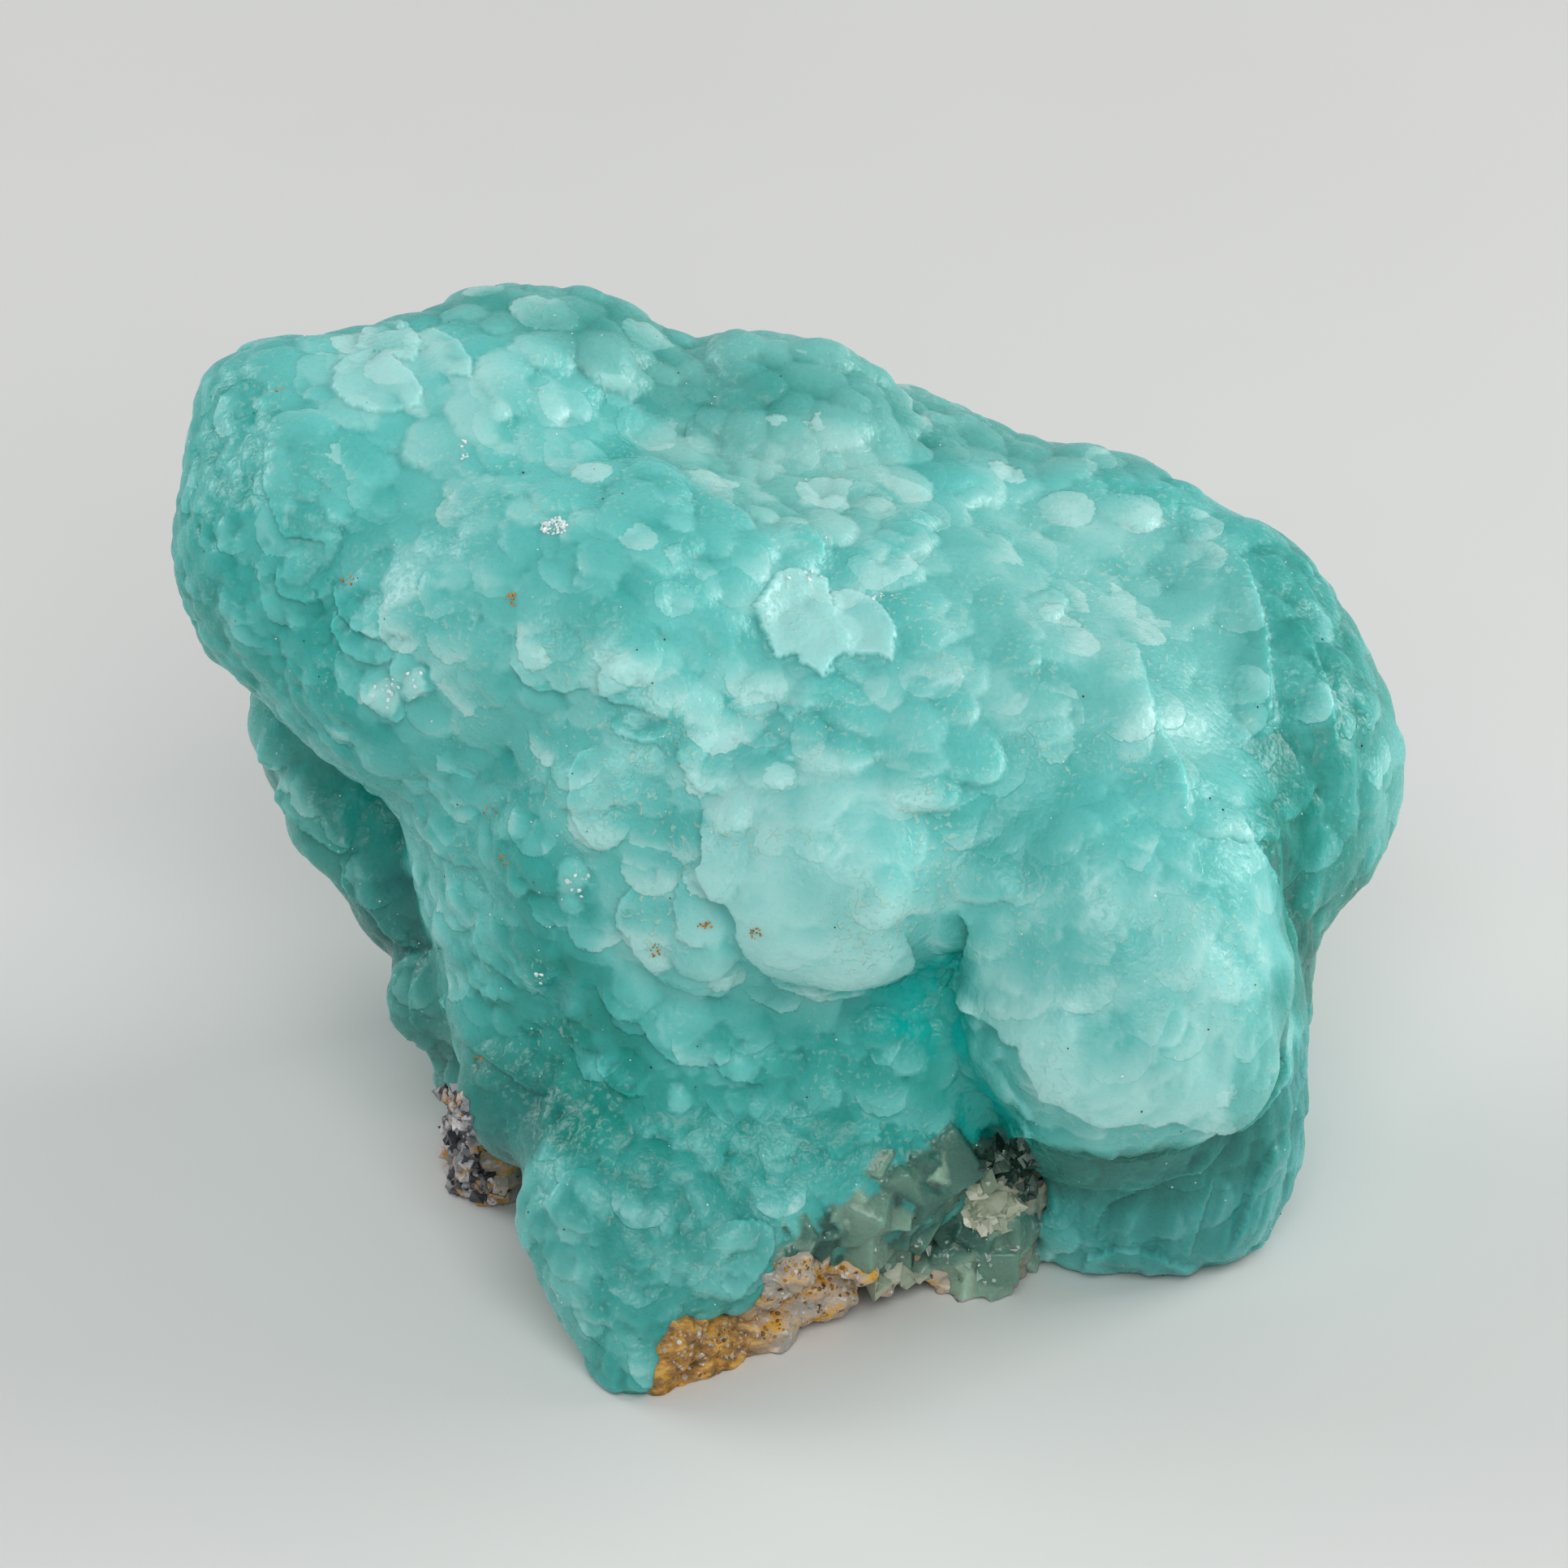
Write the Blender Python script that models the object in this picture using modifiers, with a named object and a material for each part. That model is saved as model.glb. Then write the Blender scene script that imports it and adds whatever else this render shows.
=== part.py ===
"""A hand specimen of blue-green botryoidal smithsonite on a scrap of its host rock.

Two solids: the smithsonite, grown together as one lobed crust, and the host rock that it coats.
The crust stands on two feet at the front, and the rock carries the back. Units are metres, +Z is up,
and the origin is under the middle of the specimen on the surface that it stands on.
"""

import math
import random
from typing import NamedTuple

import bmesh
import bpy
from mathutils import Matrix, Vector
from mathutils import noise

MM = 0.001

# Driving dimensions, in millimetres
MASS_VOXEL = 1.2
CRUST_VOXEL = 0.9
ROCK_VOXEL = 0.9
GAP = 0.35
BASE_SIDE = 160.0
BASE_DEPTH = 30.0

# How often the surface of each fused body is softened
MASS_SMOOTHING = 14
NODULE_SMOOTHING = 3
DOME_SMOOTHING = 1
ROCK_SMOOTHING = 2

# How fine the balls are that the bodies are fused from, and how many triangles are left
LOBE_SUBDIVISIONS = 4
DOME_SUBDIVISIONS = 2
CRUST_TRIANGLES = 7800
ROCK_TRIANGLES = 1400

# The low domes on the crust: radii in millimetres on the left hump, low down and elsewhere, where these
# parts end, and the spread, spacing, height and depth of the domes as shares of their radius
HUMP_DOME = 2.6
LOW_DOME = 2.9
BROAD_DOME = 4.2
HUMP_RIGHT_END = -24
HUMP_LOWER_END = 30
LOW_PART_TOP = 22
DOME_SPREAD = (0.8, 1.25)
DOME_SPACING = 0.62
DOME_HEIGHT = (0.10, 0.22)
DOME_DEPTH = 0.62
DOME_SEED = 7

# The broken surface of the rock: its grain and depth in millimetres, and the noise that makes it
ROCK_GRAIN = 4.0
ROCK_DEPTH = 0.9
ROCK_SEED = 11
NOISE_DIMENSION = 1.0
NOISE_LACUNARITY = 2.1
NOISE_OCTAVES = 3
NOISE_MIDDLE = 0.8


class Lobe(NamedTuple):
    """One rounded mass: centre, radii, turn about the vertical, and how boxy it is (2 is an ellipsoid)."""

    name: str
    centre: tuple
    radii: tuple
    yaw: float = 0.0
    power: float = 2.0


# The broad masses, which run into each other softly
MASS_LOBES = (
    Lobe("core_middle", (0, 4, 30), (26, 21, 17)),
    Lobe("core_left", (-19, 7, 38.5), (16.5, 16, 12)),
    Lobe("core_right", (20, 2, 26), (17.5, 17, 15)),
    Lobe("core_back", (-2, 13, 34), (26, 14, 13)),
    Lobe("hump_left", (-29.8, 9, 42), (10.3, 11, 11)),
    Lobe("hump_corner", (-32.5, 14, 47.5), (7, 7, 6.3)),
    Lobe("hump_top", (-22, 14, 47), (12, 10, 7)),
    Lobe("ridge_left", (-17, 19, 46.7), (11, 9, 7)),
    Lobe("ridge_middle", (-2, 18, 44), (10.5, 9, 6.5)),
    Lobe("ridge_right", (6.5, 18, 39.6), (10, 9, 6.5)),
    Lobe("ridge_far", (18.5, 14, 35.8), (12, 11, 8)),
    Lobe("bulge_top", (28.5, 9.5, 32.3), (9.2, 11, 9.4)),
    Lobe("bulge_side", (31.3, 4, 28), (9.3, 12, 11)),
    Lobe("bulge_low", (29.3, 2, 21.5), (6.7, 10, 8)),
    Lobe("brow", (10, -4, 35), (19, 13, 9)),
    Lobe("brow_left", (-13, 0, 44), (14, 12, 7)),
    Lobe("brow_front", (4, -10, 36), (12, 8, 6)),
    Lobe("nodule_front", (3.3, -14.5, 32.3), (8.8, 8.6, 8)),
    Lobe("nodule_left", (-9.5, -11, 34.5), (6.8, 6.3, 6.8)),
    Lobe("front_mass", (-8, -8.5, 30), (11, 9, 15)),
    Lobe("lobe_neck", (20.5, -12, 30.5), (12, 11, 7.3)),
    Lobe("lobe_middle", (22, -14, 27.5), (10.6, 11, 8)),
    Lobe("wall_right", (24, -4, 11), (10.5, 13.4, 13.5), 0, 3.2),
    Lobe("skirt_front", (4.5, -12, 18), (11, 7, 6.5)),
    Lobe("skirt_left", (-6, -12, 18), (8, 7, 9)),
    Lobe("skirt_base", (2.5, -14.5, 9.5), (11.5, 8, 6.5), 15),
    Lobe("flank_left", (-15.5, -2, 24), (8, 12.5, 14), 22),
    Lobe("flank_high", (-19.5, 2, 33), (7, 7.5, 10)),
    Lobe("flank_low", (-15, -4, 14), (7, 9, 8)),
    Lobe("base_middle", (2, 1, 10), (19, 18, 9), 0, 2.6),
    Lobe("base_back", (-1, 11, 9.5), (18.5, 13.5, 9.5), 0, 2.8),
    Lobe("foot_top", (-9, -17.5, 11), (8.6, 5.8, 4.9)),
    Lobe("foot_side", (-4, -20.5, 7), (7, 5.4, 4.8), 32.7),
    Lobe("foot_middle", (-9.5, -20.5, 8), (8, 6, 5.2)),
)

# The smaller ones, which keep a crease where they meet
NODULE_LOBES = (
    Lobe("ledge_left", (-22, 3, 42), (8, 6.5, 6.5)),
    Lobe("nodule_low", (-5, -14, 29.5), (5, 5.5, 5)),
    Lobe("lobe_big", (22.1, -15.2, 23.4), (10.6, 10.8, 10.5), 0, 2.15),
    Lobe("lobe_under", (21.5, -12, 18.8), (8.8, 9, 11)),
    Lobe("lobe_low_left", (-16, -10.5, 11.5), (5, 5.5, 4.8)),
    Lobe("foot_shin", (-9.8, -23, 5), (5.4, 4.7, 4.6)),
    Lobe("foot_tip", (-9.4, -25.8, 1.2), (2.9, 3, 3.4)),
    Lobe("bulb", (-23.8, 2, 11.8), (2.4, 4, 3.4)),
    Lobe("bulb_small", (-20.5, -0.5, 6.5), (2.2, 2.6, 2.6)),
    Lobe("back_lobe_high", (-31, 14, 26.5), (4.2, 7, 6.5)),
    Lobe("back_lobe_middle", (-29, 11.5, 21.5), (4, 6, 4.5)),
    Lobe("back_lobe_low", (-24.5, 8, 17.5), (4.6, 6, 5.5)),
    Lobe("behind_high", (-12, 22, 38), (9, 6, 8)),
    Lobe("behind_middle", (7, 22, 31), (9, 6, 8)),
    Lobe("behind_right", (22, 17, 24), (8, 6, 8)),
    Lobe("behind_left", (-20, 17, 28), (8, 6, 7)),
    Lobe("behind_low", (-5, 22, 20), (8, 5, 7)),
)

ROCK_LOBES = (
    Lobe("slab", (0, 1, 0), (16, 17, 7.5)),
    Lobe("slab_back", (-2, 10, 0), (15, 11.5, 5.5)),
    Lobe("front_band", (-1.8, -17.5, 0), (12, 5.4, 4.0), 32.7, 3.5),
    Lobe("front_end", (9, -13, 0), (4.5, 4.5, 4)),
    Lobe("side_patch", (-18.9, -2, 2.2), (3.4, 5, 5.2)),
    Lobe("outcrop_low", (13.0, -13, 3.2), (3.2, 4.2, 5.6)),
    Lobe("outcrop_high", (15.8, -11.5, 6.2), (3.6, 4.6, 3.8)),
)


# The low hollow under the specimen, open at the front between the two feet
ARCH = Lobe("arch", (3, -8, -3), (9.5, 22, 7))


def clear_scene():
    """Empties the scene that Blender starts with."""
    for obj in list(bpy.data.objects):
        bpy.data.objects.remove(obj, do_unlink=True)


def collection_named(name):
    """A new collection in the scene."""
    made = bpy.data.collections.new(name)
    bpy.context.scene.collection.children.link(made)
    return made


def add_lobe(bm, lobe):
    """Adds one lobe to the bmesh: a ball, made boxier by its power, then sized, turned and placed."""
    ball = bmesh.ops.create_icosphere(bm, subdivisions=LOBE_SUBDIVISIONS, radius=1.0)["verts"]
    size = Matrix.Diagonal(Vector(lobe.radii) * MM)
    turn = Matrix.Rotation(math.radians(lobe.yaw), 3, "Z")
    for vertex in ball:
        spread = sum(abs(part) ** lobe.power for part in vertex.co)
        boxy = vertex.co * spread ** (-1.0 / lobe.power)
        vertex.co = turn @ (size @ boxy) + Vector(lobe.centre) * MM


def empty_object(name, collection):
    """An object of the collection with no faces yet."""
    obj = bpy.data.objects.new(name, bpy.data.meshes.new(name))
    collection.objects.link(obj)
    return obj


def mesh_object(name, bm, collection):
    """Turns a bmesh into an object of the collection."""
    obj = empty_object(name, collection)
    bm.to_mesh(obj.data)
    bm.free()
    return obj


def apply_modifiers(obj):
    """Keeps the evaluated shape and drops the modifiers."""
    graph = bpy.context.evaluated_depsgraph_get()
    graph.update()
    shaped = bpy.data.meshes.new_from_object(obj.evaluated_get(graph))
    old = obj.data
    obj.modifiers.clear()
    obj.data = shaped
    bpy.data.meshes.remove(old)
    shaped.name = obj.name


def remesh(obj, voxel, smoothing):
    """Fuses what overlaps into one closed skin of even faces, and softens it."""
    skin = obj.modifiers.new("skin", "REMESH")
    skin.mode = "VOXEL"
    skin.voxel_size = voxel * MM
    if smoothing:
        soften = obj.modifiers.new("soften", "SMOOTH")
        soften.factor = 0.5
        soften.iterations = smoothing
    apply_modifiers(obj)


def thin_to(obj, triangles):
    """Collapses edges until about so many triangles are left."""
    triangulate = obj.modifiers.new("triangles", "TRIANGULATE")
    triangulate.quad_method = "BEAUTY"
    apply_modifiers(obj)
    fewer = obj.modifiers.new("fewer", "DECIMATE")
    fewer.ratio = min(1.0, triangles / len(obj.data.polygons))
    apply_modifiers(obj)


def cut_away(obj, cutter):
    """Cuts the shape of one solid out of another."""
    cut = obj.modifiers.new("cut", "BOOLEAN")
    cut.operation = "DIFFERENCE"
    cut.object = cutter
    cut.solver = "EXACT"
    apply_modifiers(obj)


def fuse_lobes(body, lobes, voxel, smoothing):
    """Fuses the lobes of a table with the body, which may still be empty."""
    bm = bmesh.new()
    bm.from_mesh(body.data)
    for lobe in lobes:
        add_lobe(bm, lobe)
    bm.to_mesh(body.data)
    bm.free()
    remesh(body, voxel, smoothing)


def dome_size(point):
    """Radius of the domes that cover the crust at a point, in millimetres."""
    x, y, z = point / MM
    if x < HUMP_RIGHT_END and z > HUMP_LOWER_END:
        return HUMP_DOME
    if z < LOW_PART_TOP:
        return LOW_DOME
    return BROAD_DOME


def grow_domes(body, voxel, smoothing):
    """Covers the body with overlapping low domes, each a flattened ball sunk in the surface."""
    draw = random.Random(DOME_SEED)
    faces = [(f.center.copy(), f.normal.copy()) for f in body.data.polygons]
    draw.shuffle(faces)
    placed = []
    bm = bmesh.new()
    bm.from_mesh(body.data)
    for centre, normal in faces:
        radius = dome_size(centre) * draw.uniform(*DOME_SPREAD) * MM
        if any((centre - c).length < DOME_SPACING * (radius + r) for c, r in placed):
            continue
        placed.append((centre, radius))
        height = radius * draw.uniform(*DOME_HEIGHT)
        depth = radius * DOME_DEPTH
        turn = normal.to_track_quat("Z", "Y").to_matrix().to_4x4()
        place = Matrix.Translation(centre + normal * (height - depth))
        size = Matrix.Diagonal((radius, radius, depth, 1))
        bmesh.ops.create_icosphere(
            bm, subdivisions=DOME_SUBDIVISIONS, radius=1.0, matrix=place @ turn @ size
        )
    bm.to_mesh(body.data)
    bm.free()
    remesh(body, voxel, smoothing)


def roughen(body, size, depth, seed):
    """Pushes the surface in and out by a broken, ridged noise, as on fractured rock."""
    body.data.update()
    shift = Vector((seed, seed * 2.0, -seed))
    for vertex in body.data.vertices:
        at = vertex.co / (size * MM) + shift
        value = noise.multi_fractal(at, NOISE_DIMENSION, NOISE_LACUNARITY, NOISE_OCTAVES) - NOISE_MIDDLE
        vertex.co += vertex.normal * (value * depth * MM)


def arch_cutter(collection):
    """The hollow under the specimen as a solid to cut with."""
    bm = bmesh.new()
    add_lobe(bm, ARCH)
    return mesh_object("arch_cutter", bm, collection)


def floor_cutter(collection):
    """A block under the surface that the specimen stands on."""
    side = BASE_SIDE * MM
    depth = BASE_DEPTH * MM
    bm = bmesh.new()
    size = Matrix.Translation((0, 0, -depth / 2)) @ Matrix.Diagonal((side, side, depth, 1))
    bmesh.ops.create_cube(bm, size=1.0, matrix=size)
    return mesh_object("floor_cutter", bm, collection)


def grown_copy(body, name, distance, collection):
    """A copy whose surface lies further out by a distance, for cutting the seat of a piece."""
    copy = body.copy()
    copy.data = body.data.copy()
    copy.name = name
    collection.objects.link(copy)
    swell = copy.modifiers.new("swell", "DISPLACE")
    swell.strength = distance * MM
    swell.mid_level = 0.0
    apply_modifiers(copy)
    return copy


def drop_scraps(obj):
    """Deletes what a cut leaves loose beside the largest body."""
    bm = bmesh.new()
    bm.from_mesh(obj.data)
    bm.verts.index_update()
    seen = set()
    shells = []
    for start in bm.verts:
        if start.index in seen:
            continue
        seen.add(start.index)
        shell = [start]
        for vertex in shell:
            for edge in vertex.link_edges:
                other = edge.other_vert(vertex)
                if other.index not in seen:
                    seen.add(other.index)
                    shell.append(other)
        shells.append(shell)
    shells.sort(key=len)
    for shell in shells[:-1]:
        bmesh.ops.delete(bm, geom=shell, context="VERTS")
    bm.to_mesh(obj.data)
    bm.free()


def material(name, colour, roughness):
    """A plain opaque material."""
    made = bpy.data.materials.new(name)
    made.use_nodes = True
    shader = made.node_tree.nodes["Principled BSDF"]
    shader.inputs["Base Color"].default_value = (*colour, 1.0)
    shader.inputs["Roughness"].default_value = roughness
    shader.inputs["Metallic"].default_value = 0.0
    made.diffuse_color = (*colour, 1.0)
    return made


def centre_on_origin(objects):
    """Moves the meshes so that the middle of their common box is over the origin."""
    corners = [v.co for obj in objects for v in obj.data.vertices]
    low = [min(c[i] for c in corners) for i in range(3)]
    high = [max(c[i] for c in corners) for i in range(3)]
    shift = Vector((-(low[0] + high[0]) / 2, -(low[1] + high[1]) / 2, -low[2]))
    for obj in objects:
        obj.data.transform(Matrix.Translation(shift))


def main():
    """Builds the specimen."""
    clear_scene()
    specimen = collection_named("smithsonite_specimen")
    cutters = collection_named("cutters")

    rock = empty_object("host_rock", specimen)
    fuse_lobes(rock, ROCK_LOBES, ROCK_VOXEL, ROCK_SMOOTHING)
    roughen(rock, ROCK_GRAIN, ROCK_DEPTH, ROCK_SEED)
    thin_to(rock, ROCK_TRIANGLES)
    seat = grown_copy(rock, "seat_cutter", GAP, cutters)

    crust = empty_object("smithsonite", specimen)
    fuse_lobes(crust, MASS_LOBES, MASS_VOXEL, MASS_SMOOTHING)
    fuse_lobes(crust, NODULE_LOBES, CRUST_VOXEL, NODULE_SMOOTHING)
    grow_domes(crust, CRUST_VOXEL, DOME_SMOOTHING)
    thin_to(crust, CRUST_TRIANGLES)

    floor = floor_cutter(cutters)
    arch = arch_cutter(cutters)
    for obj in (crust, rock):
        cut_away(obj, floor)
        cut_away(obj, arch)
    cut_away(crust, seat)
    for obj in (crust, rock):
        drop_scraps(obj)
    for cutter in (floor, arch, seat):
        cutter.hide_render = True
        cutter.display_type = "WIRE"

    crust.data.materials.clear()
    crust.data.materials.append(material("smithsonite", (0.30, 0.66, 0.62), 0.45))
    rock.data.materials.clear()
    rock.data.materials.append(material("host_rock", (0.52, 0.34, 0.16), 0.85))
    centre_on_origin((crust, rock))


main()
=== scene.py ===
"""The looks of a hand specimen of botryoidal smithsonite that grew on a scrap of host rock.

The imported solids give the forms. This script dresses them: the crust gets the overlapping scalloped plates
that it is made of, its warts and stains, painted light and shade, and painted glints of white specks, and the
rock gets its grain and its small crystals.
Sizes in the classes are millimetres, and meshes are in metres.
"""

import logging
import math
import random
from dataclasses import dataclass
from enum import Enum

import bpy
import numpy as np
from mathutils import Euler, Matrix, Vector, noise
from mathutils.bvhtree import BVHTree
from mathutils.kdtree import KDTree


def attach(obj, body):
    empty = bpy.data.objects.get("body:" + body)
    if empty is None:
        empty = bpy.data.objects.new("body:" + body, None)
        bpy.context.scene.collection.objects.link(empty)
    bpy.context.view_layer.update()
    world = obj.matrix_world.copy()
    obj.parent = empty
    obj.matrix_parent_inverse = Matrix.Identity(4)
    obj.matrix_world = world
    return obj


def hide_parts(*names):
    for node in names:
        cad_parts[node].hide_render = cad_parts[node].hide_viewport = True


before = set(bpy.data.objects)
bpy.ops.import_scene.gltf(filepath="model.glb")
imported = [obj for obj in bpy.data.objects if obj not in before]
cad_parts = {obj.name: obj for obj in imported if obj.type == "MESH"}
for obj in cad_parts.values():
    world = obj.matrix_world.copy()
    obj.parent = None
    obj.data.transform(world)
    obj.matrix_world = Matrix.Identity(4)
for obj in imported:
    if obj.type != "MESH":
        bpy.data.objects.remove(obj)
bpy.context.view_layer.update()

MM = 0.001
PHOTO_SIZE = 1932
log = logging.getLogger("smithsonite")

Point = tuple[float, float, float]
Span = tuple[float, float]


# Helpers for meshes and modifiers


def select_only(obj: bpy.types.Object) -> None:
    """Selects one object, makes it active and deselects everything else."""
    bpy.ops.object.select_all(action="DESELECT")
    obj.select_set(True)
    bpy.context.view_layer.objects.active = obj


def apply_modifier(obj: bpy.types.Object, kind: str, **settings: object) -> None:
    """Adds a modifier, sets it and applies it.

    Args:
        obj: the object that it shapes.
        kind: the modifier's type, such as REMESH.
        settings: values for the modifier's own properties.
    """
    select_only(obj)
    modifier = obj.modifiers.new(kind.lower(), kind)
    for name, value in settings.items():
        setattr(modifier, name, value)
    bpy.ops.object.modifier_apply(modifier=modifier.name)


def mesh_piece(name: str, places: np.ndarray, faces: list[tuple[int, ...]]) -> bpy.types.Object:
    """Makes an object from points in metres and faces.

    Args:
        name: the piece's name.
        places: one row of x, y and z for each point.
        faces: the point numbers of each face, counter-clockwise from outside.

    Returns:
        The object, linked to the scene, at the origin.
    """
    mesh = bpy.data.meshes.new(name)
    mesh.from_pydata(places.tolist(), [], faces)
    piece = bpy.data.objects.new(name, mesh)
    bpy.context.scene.collection.objects.link(piece)
    return piece


def points_of(obj: bpy.types.Object) -> np.ndarray:
    """The object's points, one row each, in metres."""
    flat = np.empty(len(obj.data.vertices) * 3)
    obj.data.vertices.foreach_get("co", flat)
    return flat.reshape(-1, 3)


def normals_of(obj: bpy.types.Object) -> np.ndarray:
    """The object's point normals, one row each."""
    flat = np.empty(len(obj.data.vertices) * 3)
    obj.data.vertices.foreach_get("normal", flat)
    return flat.reshape(-1, 3)


def move_points(obj: bpy.types.Object, places: np.ndarray) -> None:
    """Writes new places, in metres, to the object's points."""
    obj.data.vertices.foreach_set("co", places.ravel())
    obj.data.update()


def faces_of(obj: bpy.types.Object) -> list[tuple[int, ...]]:
    """The object's faces as point numbers."""
    return [tuple(face.vertices) for face in obj.data.polygons]


def store_values(obj: bpy.types.Object, name: str, values: np.ndarray) -> None:
    """Keeps one number for each point under a name that the materials read."""
    layer = obj.data.attributes.new(name, "FLOAT", "POINT")
    layer.data.foreach_set("value", values.astype(np.float32))


def merged_copy(node: str, name: str) -> bpy.types.Object:
    """Copies a solid of the frame and joins its loose triangles into one skin.

    Args:
        node: the frame's node.
        name: the copy's name.

    Returns:
        The copy, at the origin.
    """
    copy = bpy.data.objects.new(name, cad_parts[node].data.copy())
    bpy.context.scene.collection.objects.link(copy)
    copy.data.materials.clear()
    select_only(copy)
    bpy.ops.object.mode_set(mode="EDIT")
    bpy.ops.mesh.select_all(action="SELECT")
    bpy.ops.mesh.remove_doubles(threshold=0.00001)
    bpy.ops.object.mode_set(mode="OBJECT")
    return copy


def surface_tree(pieces: tuple[bpy.types.Object, ...]) -> BVHTree:
    """One search tree of the surfaces of several pieces."""
    points: list[np.ndarray] = []
    faces: list[tuple[int, ...]] = []
    for piece in pieces:
        start = sum(len(block) for block in points)
        points.append(points_of(piece))
        faces += [tuple(start + corner for corner in face) for face in faces_of(piece)]
    return BVHTree.FromPolygons(np.vstack(points).tolist(), faces)


def smoothstep(low: float, high: float, value: np.ndarray) -> np.ndarray:
    """Rises smoothly from 0 at low to 1 at high."""
    share = np.clip((value - low) / (high - low), 0.0, 1.0)
    return share * share * (3.0 - 2.0 * share)


def noise_at(places: np.ndarray, size: float, seed: float) -> np.ndarray:
    """Smooth noise of about -1 to 1 at each place.

    Args:
        places: points in metres.
        size: the noise's grain, in millimetres.
        seed: a shift that gives another pattern.

    Returns:
        One value for each place.
    """
    scaled = places / (size * MM) + seed
    return np.array([noise.noise(Vector(row)) for row in scaled.tolist()])


Pixels = tuple[tuple[float, float], ...]


def inside(outline: Pixels, spots: np.ndarray) -> np.ndarray:
    """Tells which spots, rows of x and y, are inside an outline."""
    within = np.zeros(len(spots), dtype=bool)
    for (ax, ay), (bx, by) in zip(outline, outline[1:] + outline[:1]):
        if ay == by:
            continue
        crosses = (ay > spots[:, 1]) != (by > spots[:, 1])
        within ^= crosses & (spots[:, 0] < ax + (spots[:, 1] - ay) * (bx - ax) / (by - ay))
    return within


def cut_block() -> tuple[np.ndarray, list[tuple[int, ...]]]:
    """Models a crystal block with two corners cut off, about 1 across, and gives its points and faces."""
    bpy.ops.object.select_all(action="DESELECT")
    bpy.ops.mesh.primitive_cube_add(size=1.0)
    block = bpy.context.active_object
    bpy.ops.object.mode_set(mode="EDIT")
    for place, way in (((0.3, 0.25, 0.28), (0.6, 0.5, 0.62)), ((-0.34, 0.3, 0.3), (-0.8, 0.3, 0.52))):
        bpy.ops.mesh.select_all(action="SELECT")
        bpy.ops.mesh.bisect(plane_co=place, plane_no=way, use_fill=True, clear_outer=True)
    bpy.ops.mesh.select_all(action="SELECT")
    bpy.ops.mesh.normals_make_consistent(inside=False)
    bpy.ops.object.mode_set(mode="OBJECT")
    points = points_of(block)
    faces = faces_of(block)
    bpy.data.objects.remove(block, do_unlink=True)
    return points, faces


# The view of the photograph


@dataclass(frozen=True)
class PhotoView:
    """The camera that took the photograph, and where its pixels fall on the specimen."""

    target: Point = (-0.3, -3.7, 31.5)
    elevation: float = 32.0
    distance: float = 700.0
    width_at_target: float = 102.55
    sensor: float = 36.0

    def forward(self) -> Vector:
        """The way that the camera looks."""
        angle = math.radians(self.elevation)
        return Vector((0.0, math.cos(angle), -math.sin(angle)))

    def place(self) -> Vector:
        """Where the camera stands, in metres."""
        return (Vector(self.target) - self.forward() * self.distance) * MM

    def ray(self, pixel: tuple[float, float]) -> Vector:
        """The direction from the camera through a pixel of the photograph."""
        forward = self.forward()
        right = Vector((1.0, 0.0, 0.0))
        up = right.cross(forward)
        scale = self.width_at_target / PHOTO_SIZE
        across = (pixel[0] - PHOTO_SIZE / 2) * scale
        along = (PHOTO_SIZE / 2 - pixel[1]) * scale
        return (forward * self.distance + right * across + up * along).normalized()

    def on_surface(self, tree: BVHTree, pixel: tuple[float, float]) -> tuple[Vector, Vector] | None:
        """Finds what a pixel shows.

        Args:
            tree: the surface to look at.
            pixel: x and y in the photograph.

        Returns:
            The place and the normal there, or None where the ray misses.
        """
        place, normal, _, _ = tree.ray_cast(self.place(), self.ray(pixel))
        return None if place is None else (place, normal)

    def project(self, places: np.ndarray) -> np.ndarray:
        """Where places, in metres, fall on the photograph, as rows of x and y in pixels."""
        forward = self.forward()
        right = Vector((1.0, 0.0, 0.0))
        up = right.cross(forward)
        away = places - np.array(self.place())
        scale = self.width_at_target / PHOTO_SIZE * MM
        spread = self.distance / (away @ np.array(forward)) * MM / scale
        across = PHOTO_SIZE / 2 + (away @ np.array(right)) * spread
        down = PHOTO_SIZE / 2 - (away @ np.array(up)) * spread
        return np.stack([across, down], axis=1)

    def seen(self, tree: BVHTree, places: np.ndarray, slack: float) -> np.ndarray:
        """Tells which places the photograph shows.

        Args:
            tree: the surface that may hide them.
            places: points in metres.
            slack: how far under the surface a place may be, in millimetres.

        Returns:
            True for each place that is seen.
        """
        eye = self.place()
        result = np.zeros(len(places), dtype=bool)
        for row, place in enumerate(places.tolist()):
            way = Vector(place) - eye
            _, _, _, reach = tree.ray_cast(eye, way)
            result[row] = reach is None or reach > way.length - slack * MM
        return result

    def distance_to(self, line: Pixels, spots: np.ndarray) -> np.ndarray:
        """How far spots are from a line of pixels, in millimetres.

        Args:
            line: the corners of the line.
            spots: rows of x and y in pixels.

        Returns:
            One distance for each spot.
        """
        nearest = np.full(len(spots), np.inf)
        for start, end in zip(line, line[1:]):
            start = np.array(start, dtype=float)
            way = np.array(end) - start
            share = np.clip((spots - start) @ way / (way @ way), 0.0, 1.0)
            nearest = np.minimum(nearest, np.linalg.norm(spots - start - np.outer(share, way), axis=1))
        return nearest * self.width_at_target / PHOTO_SIZE

    def build(self) -> None:
        """Adds the camera."""
        lens = bpy.data.cameras.new("photo_camera")
        lens.sensor_width = self.sensor
        lens.lens = self.sensor * self.distance / self.width_at_target
        lens.clip_start = 0.01
        lens.clip_end = 10.0
        camera = bpy.data.objects.new("photo_camera", lens)
        bpy.context.scene.collection.objects.link(camera)
        camera.location = self.place()
        camera.rotation_euler = self.forward().to_track_quat("-Z", "Y").to_euler()
        bpy.context.scene.camera = camera


# How the crust grew from place to place


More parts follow.
